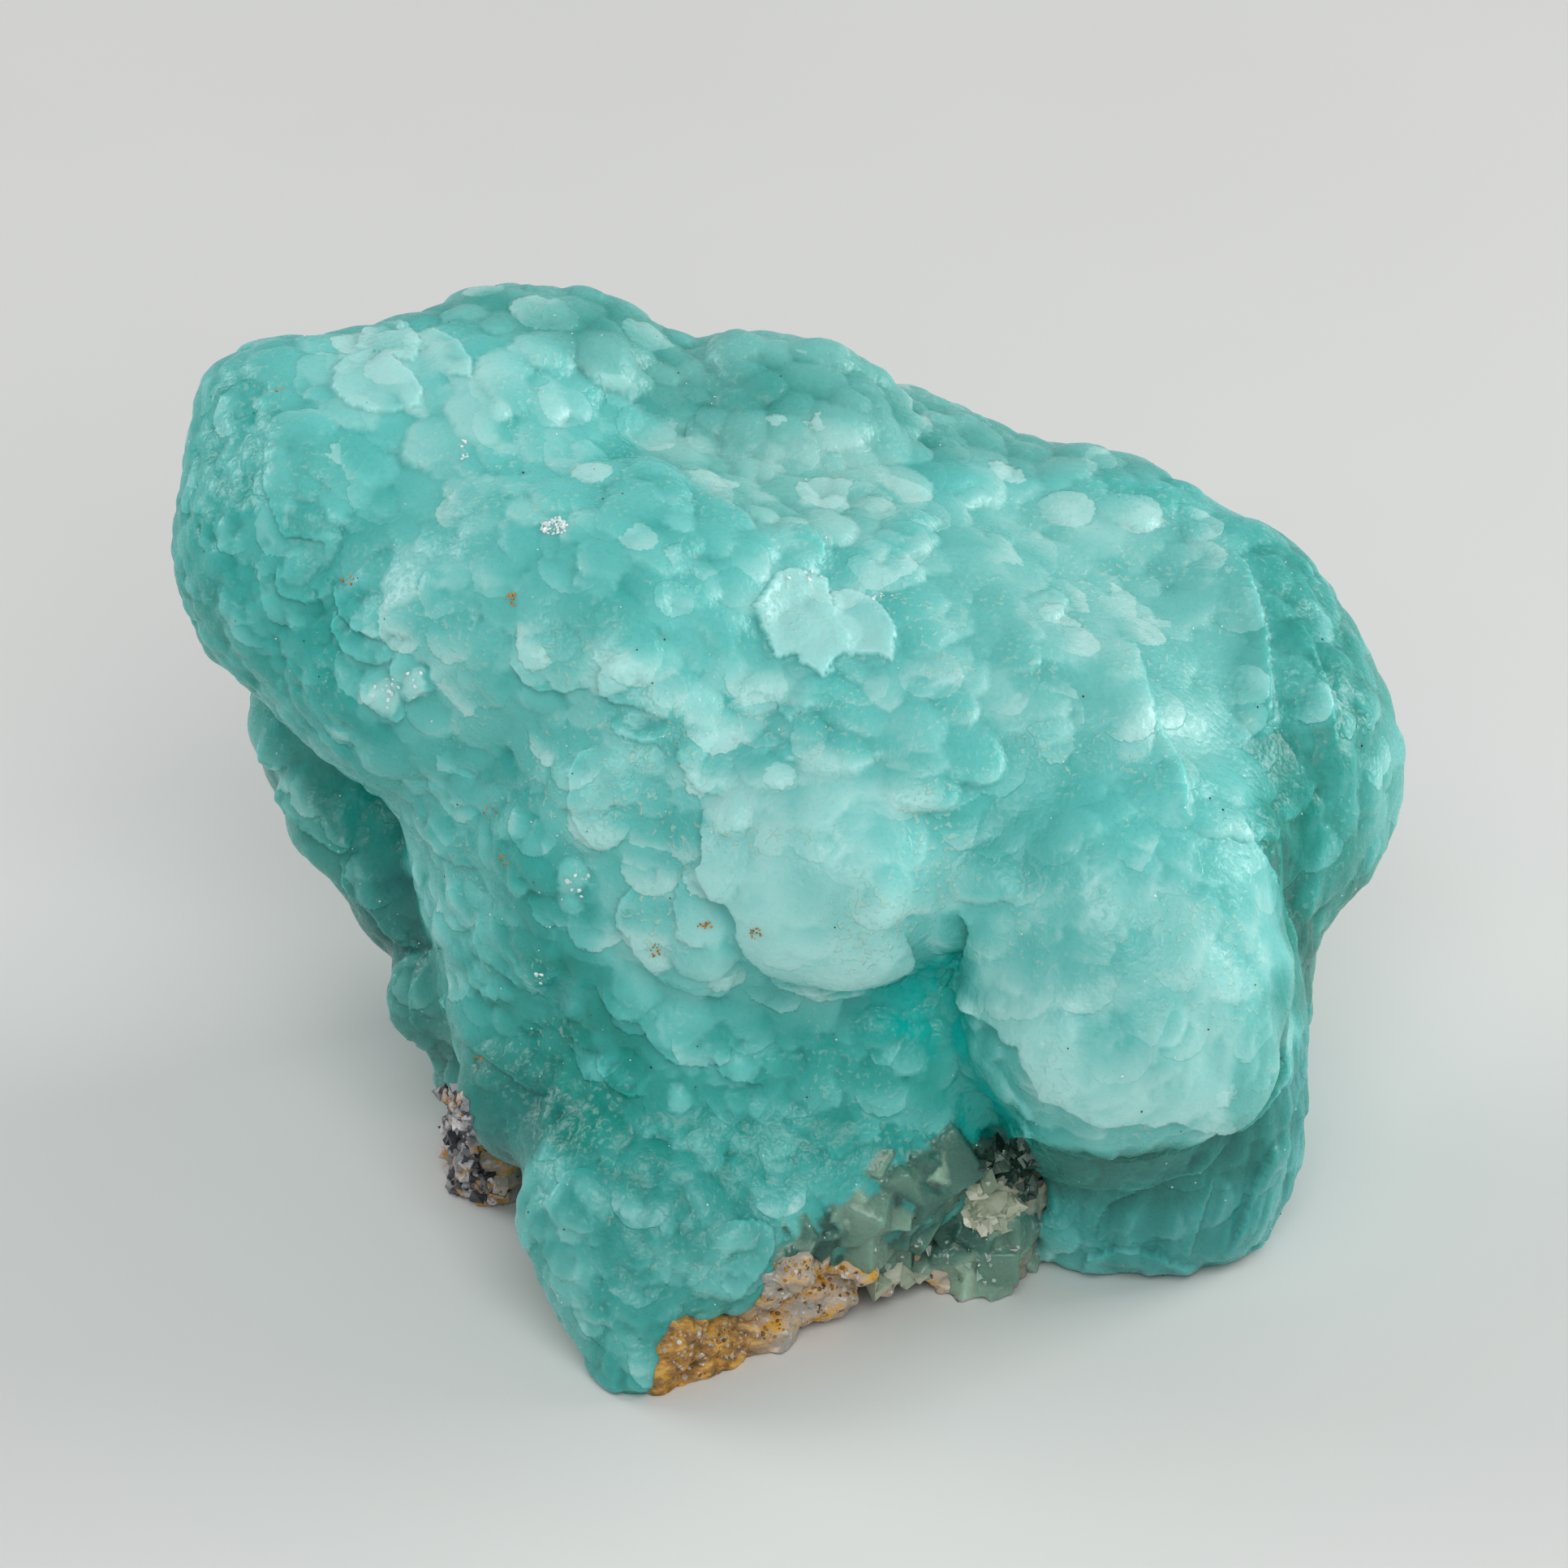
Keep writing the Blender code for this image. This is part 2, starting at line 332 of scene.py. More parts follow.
@dataclass(frozen=True)
class PlateStyle:
    """How the plates look on a stretch of crust.

    radius and rise are in millimetres, dome is the height of the middle over the rim and lean the lift
    of the free edge, both for each millimetre of radius, and pale is how the plates differ in paleness.
    """

    radius: Span
    rise: Span
    spacing: float
    pale: Span
    dome: float = 0.10
    lean: float = 0.08


class Growth(Enum):
    """The ways in which the crust grew."""

    PLATES = PlateStyle((1.3, 3.0), (0.16, 0.34), 0.46, (-0.07, 0.10), 0.10, 0.14)
    DOMES = PlateStyle((1.3, 2.7), (0.24, 0.56), 0.47, (-0.08, 0.12), 0.17, 0.15)
    BROAD = PlateStyle((1.4, 3.2), (0.05, 0.16), 0.50, (-0.05, 0.08), 0.04, 0.05)
    PEBBLY = PlateStyle((0.6, 1.7), (0.14, 0.36), 0.52, (-0.08, 0.12), 0.16, 0.10)
    FLAKY = PlateStyle((0.6, 1.9), (0.14, 0.42), 0.50, (-0.08, 0.14), 0.07, 0.16)
    SMOOTH = PlateStyle((0.9, 2.4), (0.00, 0.07), 0.60, (-0.02, 0.03), 0.03, 0.02)
    WALL = PlateStyle((1.2, 3.0), (0.04, 0.16), 0.58, (-0.06, 0.07), 0.02, 0.08)


@dataclass(frozen=True)
class Region:
    """A stretch of crust: an ellipsoid of space, in millimetres, and how the crust in it differs.

    tone raises or lowers the paleness; its deep negative values on undersides and in crevices are painted shade.
    grey and blue pull the colour to grey-green and to blue, glow is the light that the crust passes on in a hollow,
    painted into its colour as a painted glow, warts is their density, shingles how clear the thin edges of the plates
    are, in bump and in painted edge light, and fibres how streaky the crust is.
    """

    name: str
    centre: Point
    radii: Point
    growth: Growth
    tone: float = 0.0
    grey: float = 0.0
    blue: float = 0.0
    warts: float = 0.35
    glow: float = 0.0
    shingles: float = 1.0
    fibres: float = 0.0

    def weight(self, places: np.ndarray) -> np.ndarray:
        """How much each place, in metres, belongs to the region, from 0 outside to 1 well inside."""
        reach = (places / MM - np.array(self.centre)) / np.array(self.radii)
        return 1.0 - smoothstep(0.75, 1.15, np.linalg.norm(reach, axis=1))


# Painted shade: the deep negative tones of undersides and crevices, as in bulge_low, lobe_under and valley. glow
# paints light into hollows.
REGIONS = (
    Region("hump", (-33, 5, 40), (10, 16, 15), Growth.PEBBLY, tone=-0.16, warts=0.25, glow=0.7),
    Region("left_top", (-24, 6, 50), (12, 14, 7), Growth.PLATES, tone=0.12, warts=0.4),
    Region("far_ridge", (-3, 20, 46), (30, 7, 12), Growth.DOMES, tone=-0.14, grey=0.55, warts=0.15),
    Region("saddle", (-2, 8, 46), (10, 8, 5), Growth.DOMES, tone=0.08, grey=0.55, warts=0.2),
    Region("brow", (-6, -6, 42), (22, 10, 6), Growth.PLATES, tone=0.08, warts=0.5),
    Region("top_right", (18, 0, 40), (14, 14, 8), Growth.BROAD, tone=0.17, grey=0.3, warts=0.5),
    Region("bulge", (35, 4, 28), (10, 16, 15), Growth.PLATES, tone=-0.34, grey=0.25, warts=0.2, fibres=0.6),
    Region("bulge_low", (36, -2, 20), (7, 10, 6), Growth.PLATES, tone=-0.62, grey=0.45, warts=0.1,
           fibres=1.0),
    Region("right_rim", (42, 0, 28), (4.5, 12, 9), Growth.PLATES, tone=0.10, grey=0.3, warts=0.1),
    Region("big_lobe", (23, -20, 27), (13, 12, 11), Growth.SMOOTH, tone=0.16, grey=0.06, warts=0.5,
           shingles=0.30, fibres=0.45),
    Region("lobe_top", (18, -16, 38), (9, 6, 5), Growth.SMOOTH, tone=0.02, warts=0.6, shingles=0.8),
    Region("lobe_side", (31, -20, 20), (4, 6, 7), Growth.SMOOTH, tone=-0.46, grey=0.5, warts=0.1,
           fibres=0.6),
    Region("valley", (33, -11, 29), (3, 6, 7), Growth.SMOOTH, tone=-0.40, warts=0.1, fibres=0.8),
    Region("lobe_under", (22, -16, 12), (11, 12, 5), Growth.SMOOTH, tone=-0.64, grey=0.6, warts=0.0,
           shingles=0.3),
    Region("nodule", (3, -20, 33), (9, 9, 9), Growth.SMOOTH, tone=0.25, warts=1.0, shingles=0.35),
    Region("nodule_left", (-9, -17, 33), (8, 8, 9), Growth.PLATES, tone=0.11, warts=0.8),
    Region("flank", (-18, -8, 27), (8, 12, 12), Growth.PEBBLY, tone=-0.05, warts=0.6, glow=0.9),
    Region("flank_front", (-14, -13, 21), (6, 6, 7), Growth.PEBBLY, tone=-0.34, warts=0.5, glow=0.4),
    Region("flank_mid", (-16, -15, 29), (4, 6, 6), Growth.PEBBLY, tone=-0.54, warts=0.6, glow=0.6),
    Region("skirt_left", (-12.5, -17, 17), (5, 5, 5), Growth.PEBBLY, tone=-0.55, warts=0.4, glow=0.4),
    Region("flank_low", (-20, -6, 15), (7, 9, 6), Growth.PLATES, tone=-0.36, grey=0.4, warts=0.3, glow=0.5),
    Region("back_lobes", (-31, 12, 23), (8, 10, 11), Growth.PLATES, tone=-0.32, grey=0.55, warts=0.1, glow=0.7),
    Region("back_lobe_low", (-25, 7, 17), (5, 7, 5), Growth.PLATES, tone=-0.66, grey=0.6, blue=0.5, warts=0.1,
           glow=0.4),
    Region("bulb", (-24, 2, 11), (5, 6, 6), Growth.SMOOTH, tone=-0.38, grey=0.9, blue=0.3, warts=0.1),
    Region("hollow", (11, -15, 20), (9, 9, 8), Growth.FLAKY, tone=-0.06, warts=0.2, glow=2.6),
    Region("skirt", (2, -18, 15), (17, 9, 7), Growth.FLAKY, tone=-0.17, warts=0.3, glow=1.3),
    Region("front_low", (5, -20, 6), (8, 6, 5), Growth.FLAKY, tone=-0.34, grey=0.7, warts=0.1),
    Region("foot", (-10, -24, 7), (10, 8, 8), Growth.FLAKY, tone=-0.18, grey=0.25, blue=0.15, warts=0.3,
           fibres=0.6),
    Region("foot_left", (-17, -23, 6), (5, 6, 7), Growth.FLAKY, tone=0.02, grey=0.35, blue=0.15, warts=0.2,
           fibres=0.8),
    Region("lobe_low", (-17, -12, 11), (6, 7, 6), Growth.BROAD, tone=-0.60, grey=0.6, blue=0.5, warts=0.1,
           shingles=0.5),
    Region("wall", (27, -8, 8), (11, 14, 10), Growth.WALL, tone=-0.25, grey=0.3, blue=0.6, warts=0.05,
           shingles=0.5, fibres=1.6),
)


@dataclass(frozen=True)
class Flap:
    """A growth layer whose free edge the photograph shows.

    trace follows the free edge in pixels of the photograph, and back closes its outline where the layer
    melts into the crust. height is the step at the edge and fade how far in it runs out, in millimetres.
    keep is the share of the height that stays, for a plate that is free all round. A crease has a height
    and a paleness below 0; that paleness is painted shade in the crease.
    """

    trace: Pixels
    back: Pixels
    height: float
    fade: float
    pale: float = 0.05
    keep: float = 0.0


FLAPS = {
    "lobe_cap": Flap(((1165, 1213), (1185, 1222), (1197, 1245), (1215, 1252), (1240, 1265), (1248, 1280),
                      (1265, 1288), (1266, 1305), (1280, 1325), (1285, 1345), (1310, 1352), (1335, 1365),
                      (1355, 1377), (1400, 1373), (1420, 1378), (1445, 1370), (1460, 1378), (1480, 1383),
                      (1520, 1385), (1545, 1368), (1560, 1345), (1578, 1315), (1590, 1280)),
                     ((1560, 1150), (1450, 1100), (1330, 1080), (1200, 1120)), 1.0, 6.0, 0.22),
    "nodule_plate": Flap(((872, 990), (866, 1010), (870, 1035), (872, 1060), (862, 1070), (870, 1090),
                          (882, 1105), (905, 1112), (915, 1130), (915, 1150), (925, 1170), (940, 1182),
                          (955, 1200), (985, 1212), (1010, 1222), (1050, 1215), (1085, 1206), (1110, 1195),
                          (1122, 1180), (1120, 1165), (1113, 1145)),
                         ((1125, 1100), (1110, 980), (1000, 930), (900, 950)), 0.85, 5.0, 0.20),
    "plate_with_stain": Flap(((790, 1085), (765, 1105), (762, 1135), (775, 1150), (785, 1170), (800, 1187),
                              (820, 1202), (845, 1215), (870, 1222), (887, 1224), (905, 1202), (912, 1182)),
                             ((915, 1140), (870, 1080), (820, 1060)), 0.6, 4.0, 0.08),
    "plate_between": Flap(((850, 1065), (838, 1085), (832, 1110), (838, 1140), (835, 1152), (852, 1163),
                           (880, 1170)), ((915, 1150), (880, 1100), (870, 1050)), 0.45, 2.4, 0.06),
    "upper_plate": Flap(((838, 905), (835, 935), (850, 958), (860, 975), (885, 980), (900, 986)),
                        ((950, 960), (930, 890), (870, 880)), 0.5, 3.2, 0.06),
    "flank_column": Flap(((740, 915), (715, 930), (703, 955), (702, 985), (710, 1007), (717, 1022),
                          (730, 1040), (747, 1058)), ((800, 1050), (800, 960), (780, 900)), 0.55, 3.0),
    "flank_button": Flap(((735, 1000), (733, 1015), (745, 1030), (762, 1036)),
                         ((780, 1020), (770, 990)), 0.35, 1.5, 0.08),
    "flank_arc": Flap(((530, 990), (528, 1020), (540, 1045), (555, 1056), (580, 1068), (602, 1070)),
                      ((650, 1040), (620, 960), (560, 950)), 0.5, 4.0),
    "flank_low_plate": Flap(((590, 1120), (588, 1155), (598, 1177), (620, 1192), (640, 1210), (660, 1216),
                             (682, 1222)), ((710, 1180), (680, 1100), (620, 1090)), 0.55, 4.0),
    "flank_foot": Flap(((556, 1200), (548, 1232), (560, 1270), (590, 1298), (612, 1312), (650, 1343),
                        (692, 1350)), ((720, 1300), (680, 1220), (600, 1180)), 0.5, 4.5),
    "skirt_ridge": Flap(((742, 1205), (750, 1235), (765, 1256), (792, 1260), (803, 1282), (820, 1300),
                         (838, 1312), (856, 1318)), ((880, 1290), (850, 1230), (790, 1190)), 0.6, 3.2),
    "skirt_bump": Flap(((874, 1293), (884, 1316), (900, 1330), (930, 1331), (952, 1336)),
                       ((980, 1310), (950, 1270), (900, 1270)), 0.5, 2.4),
    "skirt_step": Flap(((738, 1298), (740, 1322), (755, 1341), (776, 1350), (803, 1350)),
                       ((820, 1320), (800, 1285), (770, 1280)), 0.5, 2.4),
    "skirt_left": Flap(((688, 1228), (700, 1265), (720, 1286), (745, 1300)),
                       ((770, 1270), (740, 1210), (710, 1200)), 0.5, 2.6),
    "ledge_left": Flap(((345, 690), (340, 715), (352, 735), (378, 745), (396, 738), (412, 728)),
                       ((430, 700), (390, 660), (360, 665)), 0.55, 2.6),
    "ledge_plate": Flap(((415, 712), (413, 735), (425, 758), (442, 776), (462, 787), (492, 786)),
                        ((530, 760), (500, 700), (440, 690)), 0.65, 3.2, 0.10),
    "ledge_second": Flap(((412, 752), (411, 778), (425, 800), (447, 815), (470, 818), (492, 806)),
                         ((500, 780), (460, 770), (430, 745)), 0.5, 2.0, 0.07),
    "ledge_low": Flap(((440, 838), (450, 862), (470, 880), (492, 887), (504, 870)),
                      ((515, 840), (480, 815), (450, 820)), 0.55, 2.2, 0.10),
    "ledge_third": Flap(((483, 800), (485, 830), (494, 855), (505, 864), (520, 852), (548, 848)),
                        ((570, 820), (540, 790), (500, 785)), 0.55, 2.6, 0.10),
    "ledge_right": Flap(((632, 800), (631, 818), (645, 838), (665, 849), (700, 851), (738, 842)),
                        ((760, 790), (700, 760), (640, 775)), 0.6, 3.2, 0.07),
    "brow_plate": Flap(((748, 810), (737, 830), (740, 852), (755, 863), (785, 870), (810, 882), (842, 896)),
                       ((890, 860), (850, 800), (780, 790)), 0.6, 3.6, 0.10),
    "brow_low": Flap(((757, 882), (751, 896), (765, 906), (790, 916), (822, 918)),
                     ((835, 895), (800, 872), (775, 870)), 0.4, 1.8, 0.08),
    "hump_border": Flap(((350, 505), (333, 540), (326, 590), (335, 625), (350, 660), (378, 663), (400, 668),
                         (405, 698)), ((470, 690), (470, 560), (410, 490)), 0.5, 4.5, 0.05),
    "left_disc": Flap(((412, 455), (425, 442), (450, 434), (482, 440), (505, 458), (520, 480), (514, 500),
                       (482, 510), (455, 506), (430, 500), (411, 482), (412, 455)), (), 0.30, 2.0, 0.14, 0.9),
    "left_disc_back": Flap(((438, 428), (448, 407), (470, 397), (502, 400), (518, 418), (512, 446),
                            (482, 440), (452, 434), (438, 428)), (), 0.28, 2.0, 0.14, 0.9),
    "left_rough": Flap(((520, 402), (548, 412), (568, 424), (582, 446), (578, 464), (545, 462)),
                       ((525, 450), (515, 420)), 0.28, 2.0, 0.14),
    "saddle_plate": Flap(((950, 642), (985, 650), (1003, 660), (1015, 676), (1013, 698), (1003, 714)),
                         ((950, 730), (890, 700), (900, 650)), 0.55, 3.4, 0.07),
    "pale_plate": Flap(((931, 743), (955, 708), (970, 702), (983, 704), (993, 715), (1009, 711), (1020, 717),
                        (1021, 735), (1034, 769), (1043, 784), (1042, 805), (1024, 815), (1016, 834),
                        (985, 817), (985, 806), (957, 812), (949, 794), (939, 779), (929, 748), (931, 743)),
                       (), 0.42, 2.0, 0.50, 0.85),
    "pale_plate_right": Flap(((1024, 730), (1045, 728), (1070, 735), (1091, 753), (1104, 776), (1102, 799),
                              (1101, 815), (1083, 807), (1045, 807), (1030, 770), (1024, 730)),
                             (), 0.32, 2.0, 0.27, 0.85),
    "pointed_plate": Flap(((908, 853), (913, 859), (931, 852), (955, 861), (962, 879), (973, 893), (980, 879),
                           (993, 877), (1016, 856)), ((1020, 820), (980, 800), (915, 815)), 0.28, 3.0, 0.10),
    # Creases: a paleness below 0 here is painted shade in the crease.
    "groove": Flap(((1176, 1120), (1192, 1150), (1182, 1190), (1166, 1215), (1150, 1222)),
                   ((1140, 1200), (1160, 1165), (1158, 1130)), -0.5, 3.0, -0.40),
    "gap_by_lobe": Flap(((1198, 1395), (1235, 1388), (1250, 1402), (1270, 1425), (1290, 1440)),
                        ((1270, 1450), (1225, 1430), (1200, 1415)), -0.5, 3.0, -0.45),
    "valley": Flap(((1530, 1000), (1572, 1075), (1594, 1138), (1603, 1197)),
                   ((1622, 1190), (1615, 1130), (1600, 1060), (1560, 985)), -0.4, 3.0, -0.35),
    "wall_crack": Flap(((1345, 1525), (1362, 1490), (1395, 1470), (1425, 1430)),
                       ((1440, 1440), (1405, 1485), (1372, 1510), (1352, 1535)), -0.4, 3.0, -0.30),
    "wall_step": Flap(((1500, 1440), (1478, 1500), (1462, 1560)),
                      ((1440, 1570), (1450, 1500), (1470, 1440)), 0.5, 3.0, 0.06),
    "wall_edge": Flap(((1575, 1400), (1545, 1450), (1530, 1500), (1515, 1545)),
                      ((1555, 1530), (1585, 1480), (1600, 1400)), 0.6, 3.0, 0.09),
    "wall_foot": Flap(((1330, 1575), (1340, 1545), (1390, 1535), (1440, 1550), (1480, 1560)),
                      ((1490, 1590), (1400, 1590)), 0.5, 2.4, 0.10),
    "shingle_right": Flap(((1395, 780), (1404, 815), (1412, 850), (1420, 880), (1438, 915), (1455, 945),
                           (1462, 975), (1464, 1015)), ((1380, 1020), (1330, 900), (1340, 780)), 0.5, 4.0),
    "shingle_high": Flap(((1505, 670), (1535, 700), (1548, 730), (1560, 775), (1566, 830), (1566, 900)),
                         ((1500, 900), (1470, 760), (1460, 690)), 0.4, 3.0, 0.04),
    "bulge_streak": Flap(((1590, 760), (1615, 790), (1630, 830), (1645, 880), (1650, 930)),
                         ((1600, 930), (1590, 850), (1570, 790)), 0.4, 2.0, 0.04),
    "right_disc": Flap(((1275, 726), (1300, 730), (1314, 745), (1308, 762), (1285, 768)),
                       ((1250, 760), (1250, 735)), 0.4, 2.0, 0.10),
    "lobe_belly": Flap(((1228, 1376), (1255, 1408), (1295, 1440), (1355, 1456), (1420, 1452), (1478, 1434),
                        (1522, 1400)), ((1530, 1380), (1400, 1372), (1290, 1340)), 0.9, 5.0, 0.02),
    "bulb_rim": Flap(((512, 1170), (490, 1192), (482, 1230), (488, 1262), (505, 1282), (538, 1294)),
                     ((556, 1265), (552, 1200), (535, 1168)), 0.4, 1.2, 0.24),
    "bulb_ring": Flap(((540, 1165), (515, 1188), (503, 1225), (508, 1258), (525, 1276)),
                      ((556, 1262), (555, 1195)), 0.3, 1.0, 0.10),
    "back_button": Flap(((343, 955), (350, 985), (372, 1012), (395, 1032), (416, 1046), (430, 1046),
                         (436, 1025)), ((432, 975), (400, 935), (360, 930)), 0.8, 3.0, 0.20),
    "back_second": Flap(((420, 1048), (424, 1080), (440, 1106), (460, 1118), (476, 1142), (500, 1166),
                         (524, 1170)), ((530, 1110), (490, 1050), (445, 1030)), 0.7, 3.0, 0.14),
    "back_high": Flap(((318, 905), (325, 935), (345, 948), (362, 940)),
                      ((380, 900), (350, 870), (320, 870)), 0.6, 2.4, 0.12),
    "foot_lobe": Flap(((885, 1508), (925, 1502), (950, 1510), (955, 1528), (940, 1560), (915, 1590),
                       (880, 1612)), ((800, 1600), (810, 1530)), 0.6, 3.6, 0.10),
    "foot_back": Flap(((735, 1438), (700, 1445), (690, 1462), (676, 1480), (655, 1492)),
                      ((680, 1560), (760, 1540), (760, 1460)), 0.5, 3.0, 0.08),
}


@dataclass(frozen=True)
class Bulb:
    """A small round growth: the pixel of its middle, its radius and rise in millimetres, its paleness."""

    pixel: tuple[float, float]
    radius: float
    rise: float
    pale: float


@dataclass(frozen=True)
class Block:
    """A clear crystal in the crust: the pixel of its middle, half its size in millimetres, its paleness."""

    pixel: tuple[float, float]
    size: float
    pale: float


BLOCKS = (
    Block((1074, 1500), 1.6, 0.16),
    Block((1064, 1536), 1.7, 0.26),
    Block((1096, 1546), 1.3, 0.16),
    Block((974, 1545), 1.1, 0.22),
    Block((996, 1532), 0.8, 0.0),
    Block((1014, 1528), 1.0, -0.30),
    Block((1036, 1552), 0.9, 0.10),
    Block((1080, 1432), 0.9, 0.12),
    Block((1110, 1456), 1.2, 0.0),
    Block((1171, 1428), 1.8, -0.02),
    Block((1190, 1450), 1.3, -0.12),
    Block((1140, 1482), 1.3, -0.10),
    Block((1130, 1515), 1.3, 0.05),
    Block((1160, 1506), 1.1, -0.20),
    Block((1195, 1585), 1.4, 0.26),
    Block((1170, 1548), 1.4, 0.0),
    Block((1236, 1556), 1.2, -0.14),
    Block((1253, 1512), 1.2, -0.10),
)

CRYSTAL_FACE: Pixels = (
    (962, 1522), (1040, 1478), (1080, 1440), (1140, 1405), (1205, 1412), (1222, 1450), (1268, 1500), (1276, 1556),
    (1210, 1594), (1130, 1590), (1060, 1566), (972, 1548),
)

BULBS = (
    Bulb((552, 1142), 1.7, 0.5, 0.10),
    Bulb((566, 1102), 1.5, 0.4, 0.08),
    Bulb((522, 1072), 1.0, 0.5, 0.22),
    Bulb((708, 1078), 1.3, 0.5, 0.22),
    Bulb((706, 1108), 1.0, 0.4, 0.18),
    Bulb((668, 1206), 0.9, 0.4, 0.30),
    Bulb((575, 548), 0.9, 0.25, 0.22),
    Bulb((590, 540), 0.8, 0.25, 0.22),
    Bulb((612, 512), 1.1, 0.30, 0.24),
    Bulb((995, 628), 1.1, 0.45, 0.30),
    Bulb((908, 438), 2.6, 0.8, 0.10),
    Bulb((1012, 448), 2.8, 0.8, 0.08),
    Bulb((480, 855), 1.3, 0.4, 0.24),
    Bulb((520, 840), 1.1, 0.4, 0.24),
    Bulb((912, 1312), 1.4, 0.4, 0.20),
    Bulb((836, 1352), 1.0, 0.4, 0.20),
)


class Plates:
    """The overlapping plates of the crust, as closed lens-shaped bodies laid on its skin."""

    def __init__(self, skin: bpy.types.Object, view: PhotoView) -> None:
        """Reads the skin that the plates lie on."""
        self.view = view
        self.tree = BVHTree.FromObject(skin, bpy.context.evaluated_depsgraph_get())
        self.points: list[np.ndarray] = []
        self.faces: list[tuple[int, ...]] = []
        self.pales: list[np.ndarray] = []
        self.clears: list[np.ndarray] = []
        self.count = 0
        self.draw = random.Random(11)
        self.square = 3.2
        self.edge_painted_light = 0.16
        self.root_painted_shade = 0.07
        self.small_blocks = 150
        self.masters = {segments: self.lens(segments) for segments in (14, 20, 32)}

    def lens(self, segments: int) -> tuple[np.ndarray, list[tuple[int, ...]]]:
        """Models the plate that the others are copied from: a ball of radius 1, to be flattened.

        Args:
            segments: points around its rim.

        Returns:
            Its points and faces.
        """
        bpy.ops.object.select_all(action="DESELECT")
        bpy.ops.mesh.primitive_uv_sphere_add(segments=segments, ring_count=8, radius=1.0)
        ball = bpy.context.active_object
        points = points_of(ball)
        faces = faces_of(ball)
        bpy.data.objects.remove(ball, do_unlink=True)
        return points, faces

    def add(self, centre: Vector, normal: Vector, radius: float, rise: float, pale: float,
            dome: float, lean: float, turn: float) -> None:
        """Lays one plate on the skin.

        Args:
            centre: its middle, in metres.
            normal: the way that it faces.
            radius: half its width, in millimetres.
            rise: how far its rim stands above the skin, in millimetres.
            pale: how much paler it is than the crust around it.
            dome: the height of its middle over its rim, for each millimetre of radius.
            lean: the lift of its outer edge, for each millimetre of radius.
            turn: the start of its outline, in radians.
        """
        segments = 14 if radius < 1.0 else 20 if radius < 1.9 else 32
        ball, faces = self.masters[segments]
        around = np.arctan2(ball[:, 1], ball[:, 0])
        flat = np.hypot(ball[:, 0], ball[:, 1])
        squash = (flat ** self.square + np.abs(ball[:, 2]) ** self.square) ** (-1.0 / self.square)
        out = flat * squash
        up = ball[:, 2] * squash

        lobes = min(segments // 5, max(3, round(radius * self.draw.uniform(2.0, 3.0))))
        phase = self.draw.uniform(0.0, math.tau)
        edge = 0.92 + 0.11 * np.abs(np.cos(lobes * around / 2 + phase + 0.7 * np.sin(2 * around + turn)))
        edge *= 1.0 + 0.12 * np.sin(2 * around + turn) + 0.07 * np.sin(3 * around - phase)
        reach = out * edge

        down = (Vector((centre.x * 0.8, centre.y * 0.5, -0.03)) * (1 / 0.03)).normalized()
        down -= normal * down.dot(normal)
        side = down.normalized() if down.length > 0.05 else normal.orthogonal().normalized()
        other = normal.cross(side)
        drift = self.draw.gauss(0.0, 0.6)
        across = reach * radius * np.cos(around)
        along = reach * radius * np.sin(around)
        top = rise * np.clip(up, 0, None) + dome * radius * np.clip(1 - out * out, 0, None) * (up > 0)
        under = -(0.6 + 0.12 * radius) * np.clip(-up, 0, None)
        height = top + under + lean * radius * reach * np.cos(around - drift)

        spread = np.outer(across, side) + np.outer(along, other)
        flat_places = np.array(centre) + spread * MM
        places = np.empty_like(flat_places)
        for row, (place, lift) in enumerate(zip(flat_places.tolist(), height.tolist())):
            near, facing, _, _ = self.tree.find_nearest(Vector(place))
            places[row] = near.lerp(Vector(place), 0.2) + facing.lerp(normal, 0.5) * (lift * MM)
        outward = np.cos(around - drift)
        # Painted light along each plate's thin free edge and painted shade at its root, under the plate above.
        shades = self.edge_painted_light * smoothstep(0.70, 1.0, out) * np.clip(0.3 + outward, 0, 1)
        shades -= self.root_painted_shade * smoothstep(0.2, 1.0, out) * np.clip(-outward, 0, 1)
        self.keep(places, faces, pale + shades, 0.0)

    def keep(self, places: np.ndarray, faces: list[tuple[int, ...]], pale: np.ndarray, clear: float) -> None:
        """Keeps a body: its points in metres, its faces, how pale its points are and how clear it is."""
        self.faces += [tuple(self.count + corner for corner in face) for face in faces]
        self.points.append(places)
        self.pales.append(pale)
        self.clears.append(np.full(len(places), clear))
        self.count += len(places)

    def scatter(self, skin: bpy.types.Object, region_of: "Crust") -> None:
        """Covers the skin, each stretch in its own style.

        Args:
            skin: the skin to cover.
            region_of: tells which region a place is in.
        """
        centres = np.array([face.center for face in skin.data.polygons])
        styles = region_of.styles(centres)
        order = list(range(len(centres)))
        self.draw.shuffle(order)
        placed = np.empty((len(centres), 4))
        count = 0
        for index in order:
            style = styles[index].value
            radius = self.draw.uniform(*style.radius)
            here = centres[index] / MM
            taken = placed[:count]
            gap = np.linalg.norm(taken[:, :3] - here, axis=1) - style.spacing * (taken[:, 3] + radius)
            if count and gap.min() < 0:
                continue
            placed[count] = (*here, radius)
            count += 1
            self.add(Vector(centres[index]), skin.data.polygons[index].normal.copy(), radius,
                     self.draw.uniform(*style.rise), self.draw.uniform(*style.pale), style.dome,
                     style.lean, self.draw.uniform(0.0, math.tau))
        log.info("%d scattered plates", count)

    def bulbs(self) -> None:
        """Adds the small round growths that stand out in the photograph."""
        for bulb in BULBS:
            found = self.view.on_surface(self.tree, bulb.pixel)
            if found:
                self.add(*found, bulb.radius, bulb.rise, bulb.pale, 0.3, 0.0, bulb.radius)

